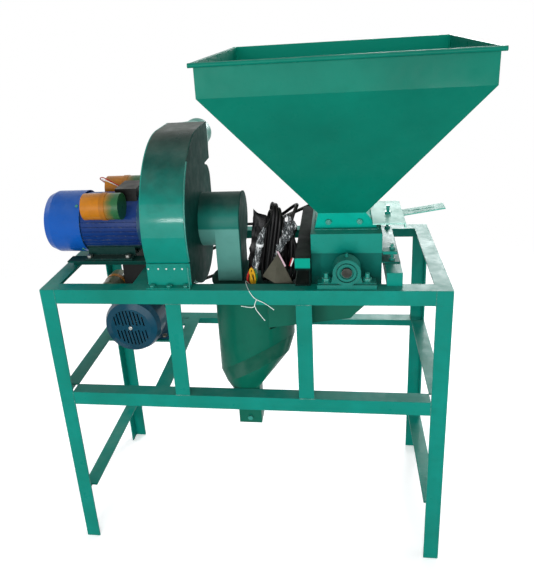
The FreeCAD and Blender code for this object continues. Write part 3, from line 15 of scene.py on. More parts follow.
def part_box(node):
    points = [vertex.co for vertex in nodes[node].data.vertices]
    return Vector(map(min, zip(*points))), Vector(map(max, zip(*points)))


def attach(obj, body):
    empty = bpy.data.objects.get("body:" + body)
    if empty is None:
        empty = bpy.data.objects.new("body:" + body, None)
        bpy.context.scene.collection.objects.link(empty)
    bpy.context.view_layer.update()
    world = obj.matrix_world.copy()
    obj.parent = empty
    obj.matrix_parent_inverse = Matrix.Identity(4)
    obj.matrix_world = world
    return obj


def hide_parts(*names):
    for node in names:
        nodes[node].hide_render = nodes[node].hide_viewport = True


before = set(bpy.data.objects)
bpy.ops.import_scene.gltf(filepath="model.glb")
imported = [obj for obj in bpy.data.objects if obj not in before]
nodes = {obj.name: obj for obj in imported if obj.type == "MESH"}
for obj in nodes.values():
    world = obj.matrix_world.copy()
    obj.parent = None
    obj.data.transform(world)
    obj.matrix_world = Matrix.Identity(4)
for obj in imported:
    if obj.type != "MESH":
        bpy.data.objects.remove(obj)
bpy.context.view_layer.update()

# The stand's low left front corner is 525 mm left and 243 mm in front of its middle.
STAND_CORNER = Vector(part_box("corner_legs")[0])
STAND_MIDDLE = STAND_CORNER + Vector((0.525, 0.243, 0))


def at(x, y, z):
    """A point of the machine, from millimetres."""
    return STAND_MIDDLE + Vector((x, y, z)) / 1000


# Camera. It stands where the photograph was taken: a little right of the stand's middle,
# 1.35 m in front of its front rail, above the hopper's neck and looking down.
CAMERA_PLACE = (256.81, -1592.54, 1479.35)
CAMERA_TURN = (69.6528, 3.5993, 8.0592)
camera_data = bpy.data.cameras.new("camera")
camera_data.lens = 37.117
camera_data.sensor_width = 36
camera_data.shift_x = 0.0364
camera_data.shift_y = -0.0896
camera_data.clip_start = 0.05
camera = bpy.data.objects.new("camera", camera_data)
bpy.context.collection.objects.link(camera)
camera.location = at(*CAMERA_PLACE)
camera.rotation_euler = Euler([math.radians(turn) for turn in CAMERA_TURN])
bpy.context.scene.camera = camera
bpy.context.scene.view_settings.view_transform = "Standard"


# Stand: legs, rails, cross beams and uprights of 40 mm steel angle, welded together and sprayed
# with glossy green enamel. The sheller's left channel is painted dark grey as shade under the
# hopper, green on its front end and near black below that as painted shadow in its hollow, and
# the angles under the fan's motor are painted dark green as shade.
def add(tree, kind, inputs=(), **settings):
    """One shader node; its inputs are numbers, colours or other nodes' outputs."""
    made = tree.nodes.new("ShaderNode" + kind)
    for word, value in settings.items():
        setattr(made, word, value)
    for word, value in dict(inputs).items():
        if isinstance(value, bpy.types.NodeSocket):
            tree.links.new(value, made.inputs[word])
        else:
            made.inputs[word].default_value = value
    return made


def ramp(tree, value, low, high):
    """A value stretched so that `low` becomes 0 and `high` becomes 1, held between them."""
    made = add(tree, "MapRange", {"Value": value, "From Min": low, "From Max": high})
    return made.outputs["Result"]


def times(tree, one, other):
    """Two values multiplied."""
    return add(tree, "Math", {0: one, 1: other}, operation="MULTIPLY").outputs[0]


def mixed(tree, share, one, other):
    """Colour `one` changed to `other` by a share."""
    return add(tree, "Mix", {0: share, 6: one, 7: other}, data_type="RGBA").outputs[2]


def noise(tree, where, scale, detail, rough=0.55):
    """Cloudy noise with so many patches to a metre and layers of finer detail."""
    made = add(tree, "TexNoise", {"Vector": where, "Scale": scale, "Detail": detail,
                                  "Roughness": rough})
    return made.outputs["Fac"]


# Each cloudy mask has its patches to a metre and its layers of detail. Paint wears within
# EDGE_REACH metres of an edge.
BROAD, BLOTCHES, GRAINS, RUBS, SETTLED = (4.5, 4), (38, 5), (420, 2), (90, 4), (14, 5)
EDGE_REACH = 0.0025
BEVEL_SAMPLES = 4


def make_surface_marks():
    """The masks that all surfaces share: broad tone, blotches, grain, worn edges and dust."""
    group = bpy.data.node_groups.new("surface_marks", "ShaderNodeTree")
    where = add(group, "TexCoord").outputs["Object"]
    solid = add(group, "NewGeometry").outputs["Normal"]
    rounded = add(group, "Bevel", {"Radius": EDGE_REACH}, samples=BEVEL_SAMPLES).outputs[0]
    turn = add(group, "VectorMath", {0: rounded, 1: solid}, operation="DOT_PRODUCT")
    sharp = ramp(group, turn.outputs["Value"], 0.995, 0.86)
    rubbed = ramp(group, noise(group, where, *RUBS, rough=0.7), 0.52, 0.68)
    height = add(group, "SeparateXYZ", {0: solid}).outputs["Z"]
    level = ramp(group, height, 0.3, 0.95)
    drifts = ramp(group, noise(group, where, *SETTLED), 0.35, 0.75)
    masks = {
        "Tone": noise(group, where, *BROAD), "Blotch": noise(group, where, *BLOTCHES),
        "Grain": noise(group, where, *GRAINS), "Edge": times(group, sharp, rubbed),
        "Dust": times(group, level, drifts),
    }
    for word in masks:
        group.interface.new_socket(name=word, in_out="OUTPUT", socket_type="NodeSocketFloat")
    out = group.nodes.new("NodeGroupOutput")
    for word, value in masks.items():
        group.links.new(value, out.inputs[word])
    return group


MARKS = make_surface_marks()


def new_material(name):
    """An empty material, with its tree and the shader in it."""
    made = bpy.data.materials.new(name)
    made.use_nodes = True
    return made, made.node_tree, made.node_tree.nodes["Principled BSDF"]


def finish_bump(tree, shader, height, strength, distance, round_edges=0.0012):
    """Fine relief on softly rounded edges."""
    edge = add(tree, "Bevel", {"Radius": round_edges}, samples=BEVEL_SAMPLES).outputs[0]
    bump = add(tree, "Bump", {"Height": height, "Strength": strength, "Distance": distance,
                              "Normal": edge})
    tree.links.new(bump.outputs[0], shader.inputs["Normal"])


def rgb(code):
    """A linear colour from a screen colour code."""
    parts = [int(code[start:start + 2], 16) / 255 for start in (0, 2, 4)]
    return (*[part / 12.92 if part <= 0.04045 else ((part + 0.055) / 1.055) ** 2.4
              for part in parts], 1)


def with_zones(tree, marks, colour, zones, ragged):
    """Other colours over parts of a surface.

    A zone is a colour, an axis, and the two places along it between which the colour comes
    in, in the model's frame. `ragged` is the share of that way by which its border wanders.
    """
    place = add(tree, "SeparateXYZ", {0: add(tree, "TexCoord").outputs["Object"]}).outputs
    for other, axis, start, end in zones:
        wander = (end - start) * ragged
        drift = times(tree, marks["Blotch"], wander)
        along = add(tree, "Math", {0: place[axis], 1: drift}).outputs[0]
        share = ramp(tree, along, start + wander / 2, end + wander / 2)
        colour = mixed(tree, share, colour, rgb(other))
    return colour


def roughness(tree, mask, thin, thick, gloss, duller):
    """Roughness that goes from `gloss` to `duller` more as a mask goes from thin to thick."""
    made = add(tree, "MapRange", {"Value": mask, "From Min": thin, "From Max": thick,
                                  "To Min": gloss, "To Max": gloss + duller})
    return made.outputs["Result"]


PRIMER, PAINT_DUST = "3a4a44", "b9c2b4"


def enamel(name, paint, shade, bare=PRIMER, gloss=0.26, coat=0.06, wear=1.0, peel=0.12,
           dust=0.1, shine=0.1, zones=()):
    """Sprayed enamel: drifting tone, thin places, chipped edges, orange peel and dust."""
    made, tree, shader = new_material(name)
    marks = add(tree, "Group", node_tree=MARKS).outputs
    tone = ramp(tree, marks["Tone"], 0.3, 0.7)
    thin = times(tree, ramp(tree, marks["Blotch"], 0.5, 0.78), 0.5)
    colour = mixed(tree, tone, rgb(paint), rgb(shade))
    colour = mixed(tree, thin, colour, rgb(shade))
    colour = with_zones(tree, marks, colour, zones, 0.6)
    colour = mixed(tree, times(tree, marks["Dust"], dust), colour, rgb(PAINT_DUST))
    colour = mixed(tree, times(tree, marks["Edge"], wear), colour, rgb(bare))
    tree.links.new(colour, shader.inputs["Base Color"])
    spread = roughness(tree, marks["Blotch"], 0.3, 0.8, gloss, 0.2)
    spread = add(tree, "Math", {0: spread, 1: times(tree, marks["Dust"], 0.2)}).outputs[0]
    tree.links.new(spread, shader.inputs["Roughness"])
    shader.inputs["Specular IOR Level"].default_value = shine
    shader.inputs["Coat Weight"].default_value = coat
    shader.inputs["Coat Roughness"].default_value = 0.1
    relief = add(tree, "Math", {0: marks["Grain"], 1: times(tree, marks["Blotch"], 2.0)})
    finish_bump(tree, shader, relief.outputs[0], peel, 0.001)
    return made


def dress(material, *names):
    """Put one finish on pieces of the machine."""
    for name in names:
        for holder in nodes[name].material_slots:
            holder.material = material


MACHINE_GREEN = enamel("green_enamel", "078b7d", "057768")
# A dark green with painted shade, for faces that stand in shadow.
SHADED_GREEN = enamel("painted_shade_enamel", "084a42", "103a34", "4a4b46", 0.4, 0.0, shine=0.02)
dress(MACHINE_GREEN, "corner_legs", "top_ring_rails", "mid_ring_rails", "low_side_rails",
      "cross_beams", "front_uprights", "sheller_motor_beams", "right_support_beam")
dress(SHADED_GREEN, "fan_motor_rails")
# The left channel: dark grey painted shade, green on its front end, and near black painted
# shadow low down in its hollow.
dress(enamel("channel_painted_shade", "161d1c", "1e2322", "4b4e49", 0.5, 0.0, shine=0.02,
             zones=[("0a9a84", "Y", -0.1885, -0.1893), ("071c19", "Z", 0.890, 0.886)]),
      "left_support_channel")

# Settling tub: a rolled shell on a slanted cone with a square spout, of thin welded sheet. It
# hangs in the stand's shade, so its green is painted darker as shade, and its flat cover is
# darker still with painted shade.
dress(enamel("tub_enamel", "07634f", "065343", gloss=0.3),
      "tub_shell", "tub_cone", "tub_spout", "discharge_chute")
dress(SHADED_GREEN, "tub_cover")

# Fan: a rolled scroll strip between two cut plates on a skirt, with a square-to-round outlet and
# a bladed impeller inside, all of sheet steel. Its top and its right plate are painted darker as
# shade, the suction pipe is painted darker green above its riser and darkest along its top and
# end as shade, and the pipe's flat riser is painted pale grey-green as a reflection of the
# light.
dress(MACHINE_GREEN, "fan_left_plate", "fan_skirt_ends", "fan_outlet_reducer",
      "fan_outlet_collar")
dress(SHADED_GREEN, "fan_right_plate", "inlet_end_cap")
dress(enamel("scroll_enamel", "078b7d", "057768", gloss=0.24, coat=0.12, shine=0.05,
             zones=[("0a463e", "Z", 1.04, 1.15), ("14281f", "Z", 1.165, 1.205)]),
      "fan_scroll_strip")
dress(enamel("suction_enamel", "5a9a90", "4c877e", gloss=0.34,
             zones=[("0a6a5e", "Z", 0.948, 0.952), ("0a3f38", "Z", 0.985, 1.015)]),
      "inlet_duct")
THIN_GREEN = enamel("thin_green_enamel", "0a5d53", "084840", "5b5f58", 0.36)
dress(THIN_GREEN, "fan_impeller")
BOLT_GREEN = enamel("sprayed_bolt", "0c8b7c", "0a6e62", "c3c9c2", 0.2, 0.3, 0.7, shine=0.4)


def metal(name, colour, dull, gloss):
    """Bare or plated metal with tarnish and handling marks."""
    made, tree, shader = new_material(name)
    marks = add(tree, "Group", node_tree=MARKS).outputs
    tarnish = ramp(tree, marks["Blotch"], 0.42, 0.7)
    shade = mixed(tree, tarnish, rgb(colour), rgb(dull))
    shade = mixed(tree, times(tree, marks["Edge"], 0.5), shade, rgb("d8d8d2"))
    tree.links.new(shade, shader.inputs["Base Color"])
    shader.inputs["Metallic"].default_value = 1
    spread = roughness(tree, marks["Tone"], 0.3, 0.7, gloss, 0.22)
    tree.links.new(spread, shader.inputs["Roughness"])
    finish_bump(tree, shader, marks["Grain"], 0.2, 0.0006, 0.0006)
    return made


def paint(piece, material):
    """Give a new piece its material."""
    piece.data.materials.clear()
    piece.data.materials.append(material)


def finished(name, form, material, smooth=True):
    """A new piece from its mesh form, painted and riding on the stand."""
    bmesh.ops.recalc_face_normals(form, faces=form.faces)
    mesh = bpy.data.meshes.new(name)
    form.to_mesh(mesh)
    form.free()
    for face in mesh.polygons:
        face.use_smooth = smooth
    piece = bpy.data.objects.new(name, mesh)
    bpy.context.collection.objects.link(piece)
    paint(piece, material)
    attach(piece, "stand")
    return piece


# Rivets along the top of the fan's skirt: five low round heads. They are bright
# steel and carry no paint, so they were set after the machine was sprayed.
RIVETS_X, RIVET_Y, RIVET_LEVEL, RIVET_FLATNESS = (-221, -195, -174, -153, -133), -239, 897, 0.6
rivet_steel = metal("bright_rivet", "c9cdc9", "8d918c", 0.22)
form = bmesh.new()
for rivet_x in RIVETS_X:
    spot = Matrix.Translation(at(rivet_x, RIVET_Y, RIVET_LEVEL))
    spot @= Matrix.Diagonal((1, RIVET_FLATNESS, 1, 1))
    bmesh.ops.create_icosphere(form, subdivisions=3, radius=0.0026, matrix=spot)
finished("skirt_rivets", form, rivet_steel)

# Seam of the fan casing: a round bead where the scroll strip is welded to the right plate,
# along two arcs about the casing's centres, and down the skirt's corner.
POINT_RADIUS = 0.02


def curve_piece(name, points, radius):
    """A round cord along one smooth spline through its route's points."""
    data = bpy.data.curves.new(name, "CURVE")
    data.dimensions = "3D"
    # The points' own radius is small, because a curve's box reaches past its points by it.
    data.bevel_depth = radius / 1000 / POINT_RADIUS
    data.bevel_resolution = 3
    data.use_fill_caps = True
    spline = data.splines.new("NURBS")
    spline.points.add(len(points) - 1)
    for point, place in zip(spline.points, points):
        point.co = (*at(*place), 1)
        point.radius = POINT_RADIUS
    spline.order_u = 3
    spline.use_endpoint_u = True
    spline.resolution_u = 6
    made = bpy.data.objects.new(name, data)
    bpy.context.collection.objects.link(made)
    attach(made, "stand")
    return made


SEAM_RADIUS = 2.2
SEAM_X, SEAM_LEVEL, SEAM_Y, LOW_CENTRE_Y = -118.5, 976, -229.5, -40
SKIRT_SEAM = [(SEAM_X, -239.5, 842), (SEAM_X, -239.5, 900)]
seam = []
for turn in (21, 14, 7, 0):
    lower, reach = math.radians(turn), SEAM_Y - LOW_CENTRE_Y
    seam.append((SEAM_X, LOW_CENTRE_Y + reach * math.cos(lower),
                 SEAM_LEVEL + reach * math.sin(lower)))
for turn in range(7, 50, 7):
    upper = math.radians(turn)
    seam.append((SEAM_X, SEAM_Y * math.cos(upper), SEAM_LEVEL - SEAM_Y * math.sin(upper)))
for seam_name, seam_points in (("scroll_seam", seam), ("skirt_seam", SKIRT_SEAM)):
    paint(curve_piece(seam_name, seam_points, SEAM_RADIUS), BOLT_GREEN)


# Motors: the upper one blue with a brighter pressed cover, the lower one blue-green. Each has
# a finned or rolled steel body, cast end shields, a moulded terminal box and cooling fan, and
# two amber capacitors in straps, partly oversprayed with green.
def moulded(name, colour, dull, gloss=0.4, grain=0.15, coat=0.0, zones=()):
    """Plastic, rubber, card or string with mould grain, grime, and zones of overspray."""
    made, tree, shader = new_material(name)
    marks = add(tree, "Group", node_tree=MARKS).outputs
    grime = times(tree, ramp(tree, marks["Blotch"], 0.4, 0.8), 0.6)
    base = mixed(tree, grime, rgb(colour), rgb(dull))
    base = with_zones(tree, marks, base, zones, 1.0)
    base = mixed(tree, times(tree, marks["Dust"], 0.14), base, rgb("b9b6a6"))
    tree.links.new(base, shader.inputs["Base Color"])
    spread = roughness(tree, marks["Blotch"], 0.3, 0.8, gloss, 0.25)
    tree.links.new(spread, shader.inputs["Roughness"])
    shader.inputs["Specular IOR Level"].default_value = 0.2
    shader.inputs["Coat Weight"].default_value = coat
    finish_bump(tree, shader, marks["Grain"], grain, 0.0006, 0.0008)
    return made


dress(enamel("royal_blue_enamel", "103a7c", "0c2a62", "5f6468", 0.22,
             zones=[("12332f", "Z", 0.906, 0.900)]), "fan_motor_body")
dress(enamel("bright_blue_enamel", "1157b0", "0e4996", "8b9096", 0.16, 0.12, 0.8, 0.06),
      "fan_motor_cover")
dress(enamel("blue_green_enamel", "134c64", "0f3c4d", "59605f", coat=0.1),
      "sheller_motor_body", "sheller_motor_cover")
dress(enamel("cast_blue_enamel", "123a66", "17435c", "9a9c9a", 0.3, 0.1, peel=0.4),
      "motor_end_shields")
dress(metal("stacked_sheet", "6b6862", "4a453f", 0.45), "motor_stators")
TURNED_STEEL = metal("turned_steel", "8f8e88", "56524b", 0.24)
dress(TURNED_STEEL, "fan_motor_rotor_shaft", "sheller_motor_rotor_shaft")
BLACK_MOULDING = moulded("black_moulding", "0b0c0b", "191b19", 0.42)
dress(BLACK_MOULDING, "fan_motor_cooling_fan", "fan_motor_terminal_box",
      "sheller_motor_cooling_fan", "sheller_motor_terminal_box")
dress(moulded("capacitor_case", "bd7410", "905b0d", 0.24, 0.08, 0.1,
              zones=[("215c34", "X", -0.372, -0.335), ("4f573f", "Z", 0.86, 0.84)]),
      "motor_capacitors")
dress(moulded("strap_band", "a8691a", "7d4f12", 0.3, 0.05), "capacitor_straps")
dress(metal("zinc_plate", "9fa19d", "716c5f", 0.32), "motor_foot_bolts")


# Nut in the middle of the lower motor's cover, on the stud that holds the cover: turned
# bright steel, made here from its profile of radius and height.
def turned_ring(profile, start, along):
    """A ring turned from a closed profile of radius and distance, about a line, in mm."""
    form = bmesh.new()
    loop = [form.verts.new((radius / 1000, 0, reach / 1000)) for radius, reach in profile]
    edges = [form.edges.new((one, other)) for one, other in zip(loop, loop[1:] + loop[:1])]
    bmesh.ops.spin(form, geom=loop + edges, cent=(0, 0, 0), axis=(0, 0, 1),
                   angle=math.tau, steps=28, use_merge=True)
    swing = Vector((0, 0, 1)).rotation_difference(Vector(along)).to_matrix().to_4x4()
    form.transform(Matrix.Translation(at(*start)) @ swing)
    return form


NUT = [(0.1, 0), (6, 0), (6, 3.5), (5.2, 4.2), (3, 4.2), (3, 7), (2.4, 7.6), (0.1, 7.6)]
finished("cover_nut", turned_ring(NUT, (-372, -35, 615), (0, -1, 0)), rivet_steel)

# Capacitor leads: one red and one white wire from the rear capacitor's end, looped over the
# motor's body and into the side of the terminal box.
LEAD_RADIUS = 1.6
CAPACITOR_LEADS = {
    "red_lead": ([(-420, 66, 1046), (-432, 62, 1050), (-436, 50, 1062), (-420, 34, 1070),
                  (-396, 20, 1064), (-368, 8, 1052), (-349, 0, 1046)], "b3261c", "8d1d16"),
    "white_lead": ([(-420, 74, 1036), (-430, 72, 1042), (-434, 60, 1054), (-424, 42, 1062),
                    (-398, 28, 1056), (-370, 18, 1046), (-349, 12, 1040)], "e4e2da", "c4c1b6"),
}


for lead_name, (lead_points, colour, dull) in CAPACITOR_LEADS.items():
    lead = curve_piece(lead_name, lead_points, LEAD_RADIUS)
    paint(lead, moulded(lead_name + "_skin", colour, dull, 0.35, 0.05))

# Sheller: a bent housing and cover round a drum with rasp bars over a bar screen. The shaft
# runs in two cast pillow blocks, and a rubber V-belt joins its pulley to the motor's.
# The lower housing's green is painted darker as shade under the cover's overhang.
dress(enamel("housing_enamel", "0b6c61", "0a5a51", "4a4b46", 0.34, 0.04, shine=0.05),
      "lower_housing")
dress(MACHINE_GREEN, "upper_cover")
dress(THIN_GREEN, "shelling_drum")
dress(TURNED_STEEL, "bar_screen")
dress(metal("greased_shaft", "3d3f3b", "242523", 0.4), "main_shaft")
dress(enamel("cast_green_enamel", "0b7f72", "08594f", "4d6b63", coat=0.2, peel=0.5),
      "bearing_blocks", "bearing_inserts", "drum_pulley", "motor_pulley")
dress(moulded("belt_fabric", "12110f", "24221f", 0.7, 0.5), "drive_belt")

# Feed: a square hopper of folded sheet with a rolled rim, on a short neck. A flat gate slides in
# a guide under it, both painted pale mint as a reflection of bright light on their upturned
# faces, with some dust.
# The hopper's back wall is painted lighter, as light from the front falling on its inner face.
dress(enamel("hopper_enamel", "067c68", "056c5a", gloss=0.24, coat=0.03, shine=0.05,
             zones=[("0aa58c", "Y", 0.222, 0.24)]), "feed_hopper", "hopper_rim")
# The neck's green is painted lighter as a highlight on its front.
dress(enamel("neck_enamel", "0ab09c", "089281", gloss=0.22, coat=0.1), "hopper_neck")
dress(enamel("guide_painted_sheen", "b9f2e4", "93d8c9", "8d9a94", 0.36, 0.04, dust=0.3),
      "gate_guide")
dress(enamel("gate_painted_sheen", "6ec4b2", "58ae9e", "8d9a94", 0.36, 0.04, dust=0.3),
      "feed_gate")

# Bolts and weld beads: the bolts were sprayed over with the machine. The beads are short runs
# of overlapping blobs where the stand's members and the neck are welded, painted over too.
dress(BOLT_GREEN, "neck_bolts", "bearing_bolts", "light_bolts", "gate_clamp_screw")
BLOB_STEP = 3.2
WELDS = [
    ((198, -129.5, 958), (350, -129.5, 958), 2.2), ((194.5, -126, 958), (194.5, 10, 958), 2.0),
    ((353.5, -126, 958), (353.5, 10, 958), 2.0),
    ((-186, -243, 800), (-148, -243, 800), 1.8), ((149, -243, 800), (187, -243, 800), 1.8),
    ((-186, -243, 525), (-148, -243, 525), 1.8), ((149, -243, 525), (187, -243, 525), 1.8),
    ((-485, -243, 486), (-485, -243, 524), 1.8), ((485, -243, 486), (485, -243, 524), 1.8),
    ((-485, 243, 486), (-485, 243, 524), 1.8), ((485, 243, 486), (485, 243, 524), 1.8),
    ((-485, -243, 800), (-485, -243, 838), 1.6), ((485, -243, 800), (485, -243, 838), 1.6),
]
chance = random.Random(11)
form = bmesh.new()
for start, end, size in WELDS:
    count = round(math.dist(start, end) / BLOB_STEP)
    for blob in range(count + 1):
        middle = at(*Vector(start).lerp(Vector(end), blob / count))
        swell = size * chance.uniform(0.8, 1.2) / 1000
        bmesh.ops.create_icosphere(form, subdivisions=1, radius=swell,
                                   matrix=Matrix.Translation(middle))
finished("weld_beads", form, BOLT_GREEN)

# Power cable: a 9 mm black sheath round three cores, from the fan motor's terminal box down
# behind the fan, round the tub and over into a loose hank on the tub's cover. Two turns lean
# right and four stand left of them, so the hank opens like a V at its foot.
GLAND = (-304, 37, 1044)
LEAD = [GLAND, (-304, 82, 1044), (-302, 128, 1026), (-299, 164, 988),
        (-294, 190, 938), (-280, 210, 894), (-238, 220, 873), (-178, 219, 871),
        (-116, 222, 870), (-66, 218, 858), (-20, 200, 862), (18, 168, 878),
        (43, 126, 904), (58, 86, 932), (70, 42, 952), (80, 6, 959), (92, -20, 962),
        (108, -42, 974), (128, -56, 993), (146, -72, 1009), (151, -96, 1015),
        (144, -119, 1006), (135, -130, 980), (134, -128, 946)]
TAIL = [(79, -138, 979), (70, -154, 974), (61, -165, 957), (54, -169, 928), (47, -166, 898),
        (40, -161, 876), (34, -158, 861)]
# The hank's turns from right to left: foot's X, top, foot's height, half width and lean.
TURNS = [(130, 990, 806, 33, 11), (119, 984, 808, 34, 13), (83, 1006, 805, 35, 28),
         (72, 1018, 806, 34, 30), (61.5, 1022, 805, 36, 31), (51, 1002, 807, 34, 33)]
TURN_ANGLE = math.radians(75)
TURN_DEPTH, TURN_STEP = -92, 1.2
LEAN_OVER = 200
SIDE_SHARES = (0.6, 0.38)
FAR_FOLD = 6


def hank_turn(number):
    """Points round one turn: down its near side, up its far side, and over to the next."""
    foot_x, top, foot, half, lean = TURNS[number]
    next_x, *_, next_lean = TURNS[min(number + 1, len(TURNS) - 1)]
    eighth = [math.radians(45 * step) for step in range(8)]
    places = [(1, 0, foot + (top - foot) * share) for share in SIDE_SHARES]
    places += [(math.sin(turn), math.cos(turn), foot + half) for turn in eighth[2:7]]
    places += [(-1, 0, foot + (top - foot) * share) for share in reversed(SIDE_SHARES)]
    over = eighth[6:] + eighth[:3]
    places += [(math.sin(turn), math.cos(turn), top - half) for turn in over]
    points = []
    for index, (across, up, level) in enumerate(places):
        share = max(0, (index - FAR_FOLD) / (len(places) - FAR_FOLD - 1))
        moved = share * share * (3 - 2 * share)
        z = level + half * up
        x = foot_x + (next_x - foot_x) * moved
        x += (lean + (next_lean - lean) * moved) * (z - TURNS[0][2]) / LEAN_OVER
        x += math.cos(TURN_ANGLE) * half * across
        y = TURN_DEPTH - TURN_STEP * number - math.sin(TURN_ANGLE) * half * across
        points.append((x, y, z))
    return points


cable_points = list(LEAD)
for number in range(len(TURNS)):
    cable_points += hank_turn(number)
cable_points.pop()
cable = curve_piece("power_cord", cable_points + TAIL, 4.5)
cable_black = moulded("cable_sheath", "060607", "111112", 0.36, 0.05)
paint(cable, cable_black)
dress(cable_black, "power_cable", "cable_hank")
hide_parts("power_cable", "cable_hank")

# Cores of the cable's bare end: three insulated wires, folded back on themselves where they
# leave the sheath and held by the wrap that is still round them.
CORE_RADIUS = 2.8
CORES = {
    "core_yellow": ([(35, -158, 866), (35, -164, 860), (31, -168, 852), (27, -170, 840),
                     (29, -171, 828), (35, -171, 823), (40, -170, 831), (39, -169, 846),
                     (36, -167, 860), (31, -166, 869), (26, -168, 860), (30, -172, 846),
                     (35, -174, 832), (31, -174, 820)], "d8a412", "b8860e"),
    "core_red": ([(32, -156, 866), (28, -158, 862), (22, -161, 852), (18, -163, 838),
                  (20, -165, 826), (24, -166, 818)], "b3261c", "8d1d16"),
    "core_green": ([(37, -157, 866), (42, -161, 856), (43, -164, 838), (39, -167, 822),
                    (33, -169, 815), (26, -170, 812)], "1f7a3a", "155a2a"),
}
for core_name, (core_points, colour, dull) in CORES.items():
    core = curve_piece(core_name, core_points, CORE_RADIUS)
    paint(core, moulded(core_name + "_skin", colour, dull, 0.35, 0.05))

# Strain relief where the cable leaves the fan motor's terminal box: a black ribbed rubber
# sleeve, turned from its profile, that grips the sheath and tapers along it for 28 mm.
RELIEF = [(4.6, 0), (9, 0), (9, 5), (7.6, 6), (7.6, 9), (8, 10), (8, 12), (6.9, 13), (6.9, 16),
          (7.2, 17), (7.2, 19), (6.1, 20), (6.1, 23), (5.3, 28), (4.6, 28)]
relief = finished("strain_relief", turned_ring(RELIEF, GLAND, (0, 1, 0)), BLACK_MOULDING)

# Clear film left on the cable's bare end: a crinkled sleeve open at both ends, with white
# streaks painted along its creases as highlights, and a turn of white tape round its middle.
clear_film, tree, shader = new_material("creased_film")
where = add(tree, "TexCoord").outputs["Object"]
crease = add(tree, "Mapping", {"Vector": where, "Scale": (1, 1, 0.12)}).outputs[0]
crease_and_glint = ramp(tree, noise(tree, crease, 260, 5, rough=0.7), 0.5, 0.62)
cover = add(tree, "MapRange", {"Value": crease_and_glint, "To Min": 0.1, "To Max": 0.92}).outputs[0]
tree.links.new(cover, shader.inputs["Alpha"])
tree.links.new(mixed(tree, crease_and_glint, rgb("8f9ba0"), rgb("f2f5f6")), shader.inputs["Base Color"])
shader.inputs["Roughness"].default_value = 0.22
finish_bump(tree, shader, crease_and_glint, 0.6, 0.0015, 0.0004)

SLEEVE_RADIUS = 8.5
# The sleeve's route, and how far it swells or pinches at each point.
SLEEVE = [((70, -155, 974), 0.6), ((61, -165, 957), 0.95), ((55, -169, 930), 1.1),
          ((48, -166, 900), 0.85), ((43, -162, 880), 1.15), ((40, -160, 868), 0.9),
          ((40, -160, 850), 0.7)]
sleeve = curve_piece("film_sleeve", [place for place, swell in SLEEVE], SLEEVE_RADIUS)
for point, (place, swell) in zip(sleeve.data.splines[0].points, SLEEVE):
    point.radius = POINT_RADIUS * swell
sleeve.data.use_fill_caps = False
paint(sleeve, clear_film)

TAPE = [(8.6, 0), (9.8, 0.3), (9.8, 7.7), (8.6, 8)]
white_tape = moulded("white_tape", "eef1f2", "c9ced0", 0.4, 0.1)
tape = finished("white_tape_turn", turned_ring(TAPE, (57.5, -168.5, 938), (-0.2, 0.05, -0.98)),
                white_tape)


# Wrap round the hank: two crumpled strips of the clear film caught between the turns, and two
# folds of a thin black bag that stand behind them.
def film_strip(name, corners, crumple, seed, material):
    """A strip between four corners, its inner points pushed about like crushed film."""
    form = bmesh.new()
    bmesh.ops.create_grid(form, x_segments=9, y_segments=14, size=0.5)
    chance = random.Random(seed)
    low_left, low_right, high_left, high_right = [at(*corner) for corner in corners]
    for vert in form.verts:
        across, up = vert.co.x + 0.5, vert.co.y + 0.5
        low = low_left.lerp(low_right, across)
        high = high_left.lerp(high_right, across)
        push = Vector([chance.uniform(-crumple, crumple) for axis in range(3)]) / 1000
        vert.co = low.lerp(high, up) + push
    bmesh.ops.subdivide_edges(form, edges=form.edges, cuts=1, smooth=0.6)
    return finished(name, form, material)


bag_black = moulded("bag_black", "08080a", "17181b", 0.3, 0.4)
film_strip("hank_film", [(97, -137, 903), (105, -138, 899), (126, -134, 1000), (152, -133, 970)],
           3.5, 4, clear_film)
film_strip("hank_film_low", [(84, -141, 868), (92, -142, 864), (98, -138, 925),
                             (110, -137, 918)], 3, 9, clear_film)
film_strip("hank_bag", [(86, -50, 813), (134, -50, 813), (102, -50, 953), (142, -50, 953)],
           4, 6, bag_black)
film_strip("hank_bag_left", [(4, -50, 813), (82, -50, 813), (26, -50, 990), (88, -50, 962)],
           4, 8, bag_black)


# Packing scraps: a folded grey card leaning on the hank with its foot on the top rail, a pale
# pink slip along its upper edge, and a small red and white tag.
def slip(name, corners, thick, material):
    """A thin flat piece from its corners, its triangles fanned about the first corner."""
    form = bmesh.new()
    verts = [form.verts.new(at(*corner)) for corner in corners]
    for one, other in zip(verts[1:], verts[2:]):
        form.faces.new((verts[0], one, other))
    bmesh.ops.recalc_face_normals(form, faces=form.faces)
    bmesh.ops.solidify(form, geom=form.faces[:], thickness=thick / 1000)
    return finished(name, form, material, smooth=False)


CARD_THICK, PAPER_THICK = 0.8, 0.5
grey_card = moulded("grey_card", "5a584c", "444338", 0.85, 0.4)
pink_slip = moulded("pink_slip", "d9b9c4", "bfa0ac", 0.7, 0.2)
red_print = moulded("red_tag", "a8202c", "8c1a24", 0.6, 0.1)
slip("folded_card", [(99, -141, 899), (60, -176, 850), (94, -202, 842), (139, -182, 832)],
     CARD_THICK, grey_card)
slip("card_slip", [(96, -143, 905), (101, -146, 906), (121, -163, 872), (117, -163, 870)],
     PAPER_THICK, pink_slip)
slip("tag_white", [(137, -137, 884), (140, -137, 882), (132, -138, 860), (129, -138, 861)],
     PAPER_THICK, white_tape)
slip("tag_red", [(133, -137, 884), (137, -137, 884), (129, -138, 861), (126, -138, 862)],
     PAPER_THICK, red_print)

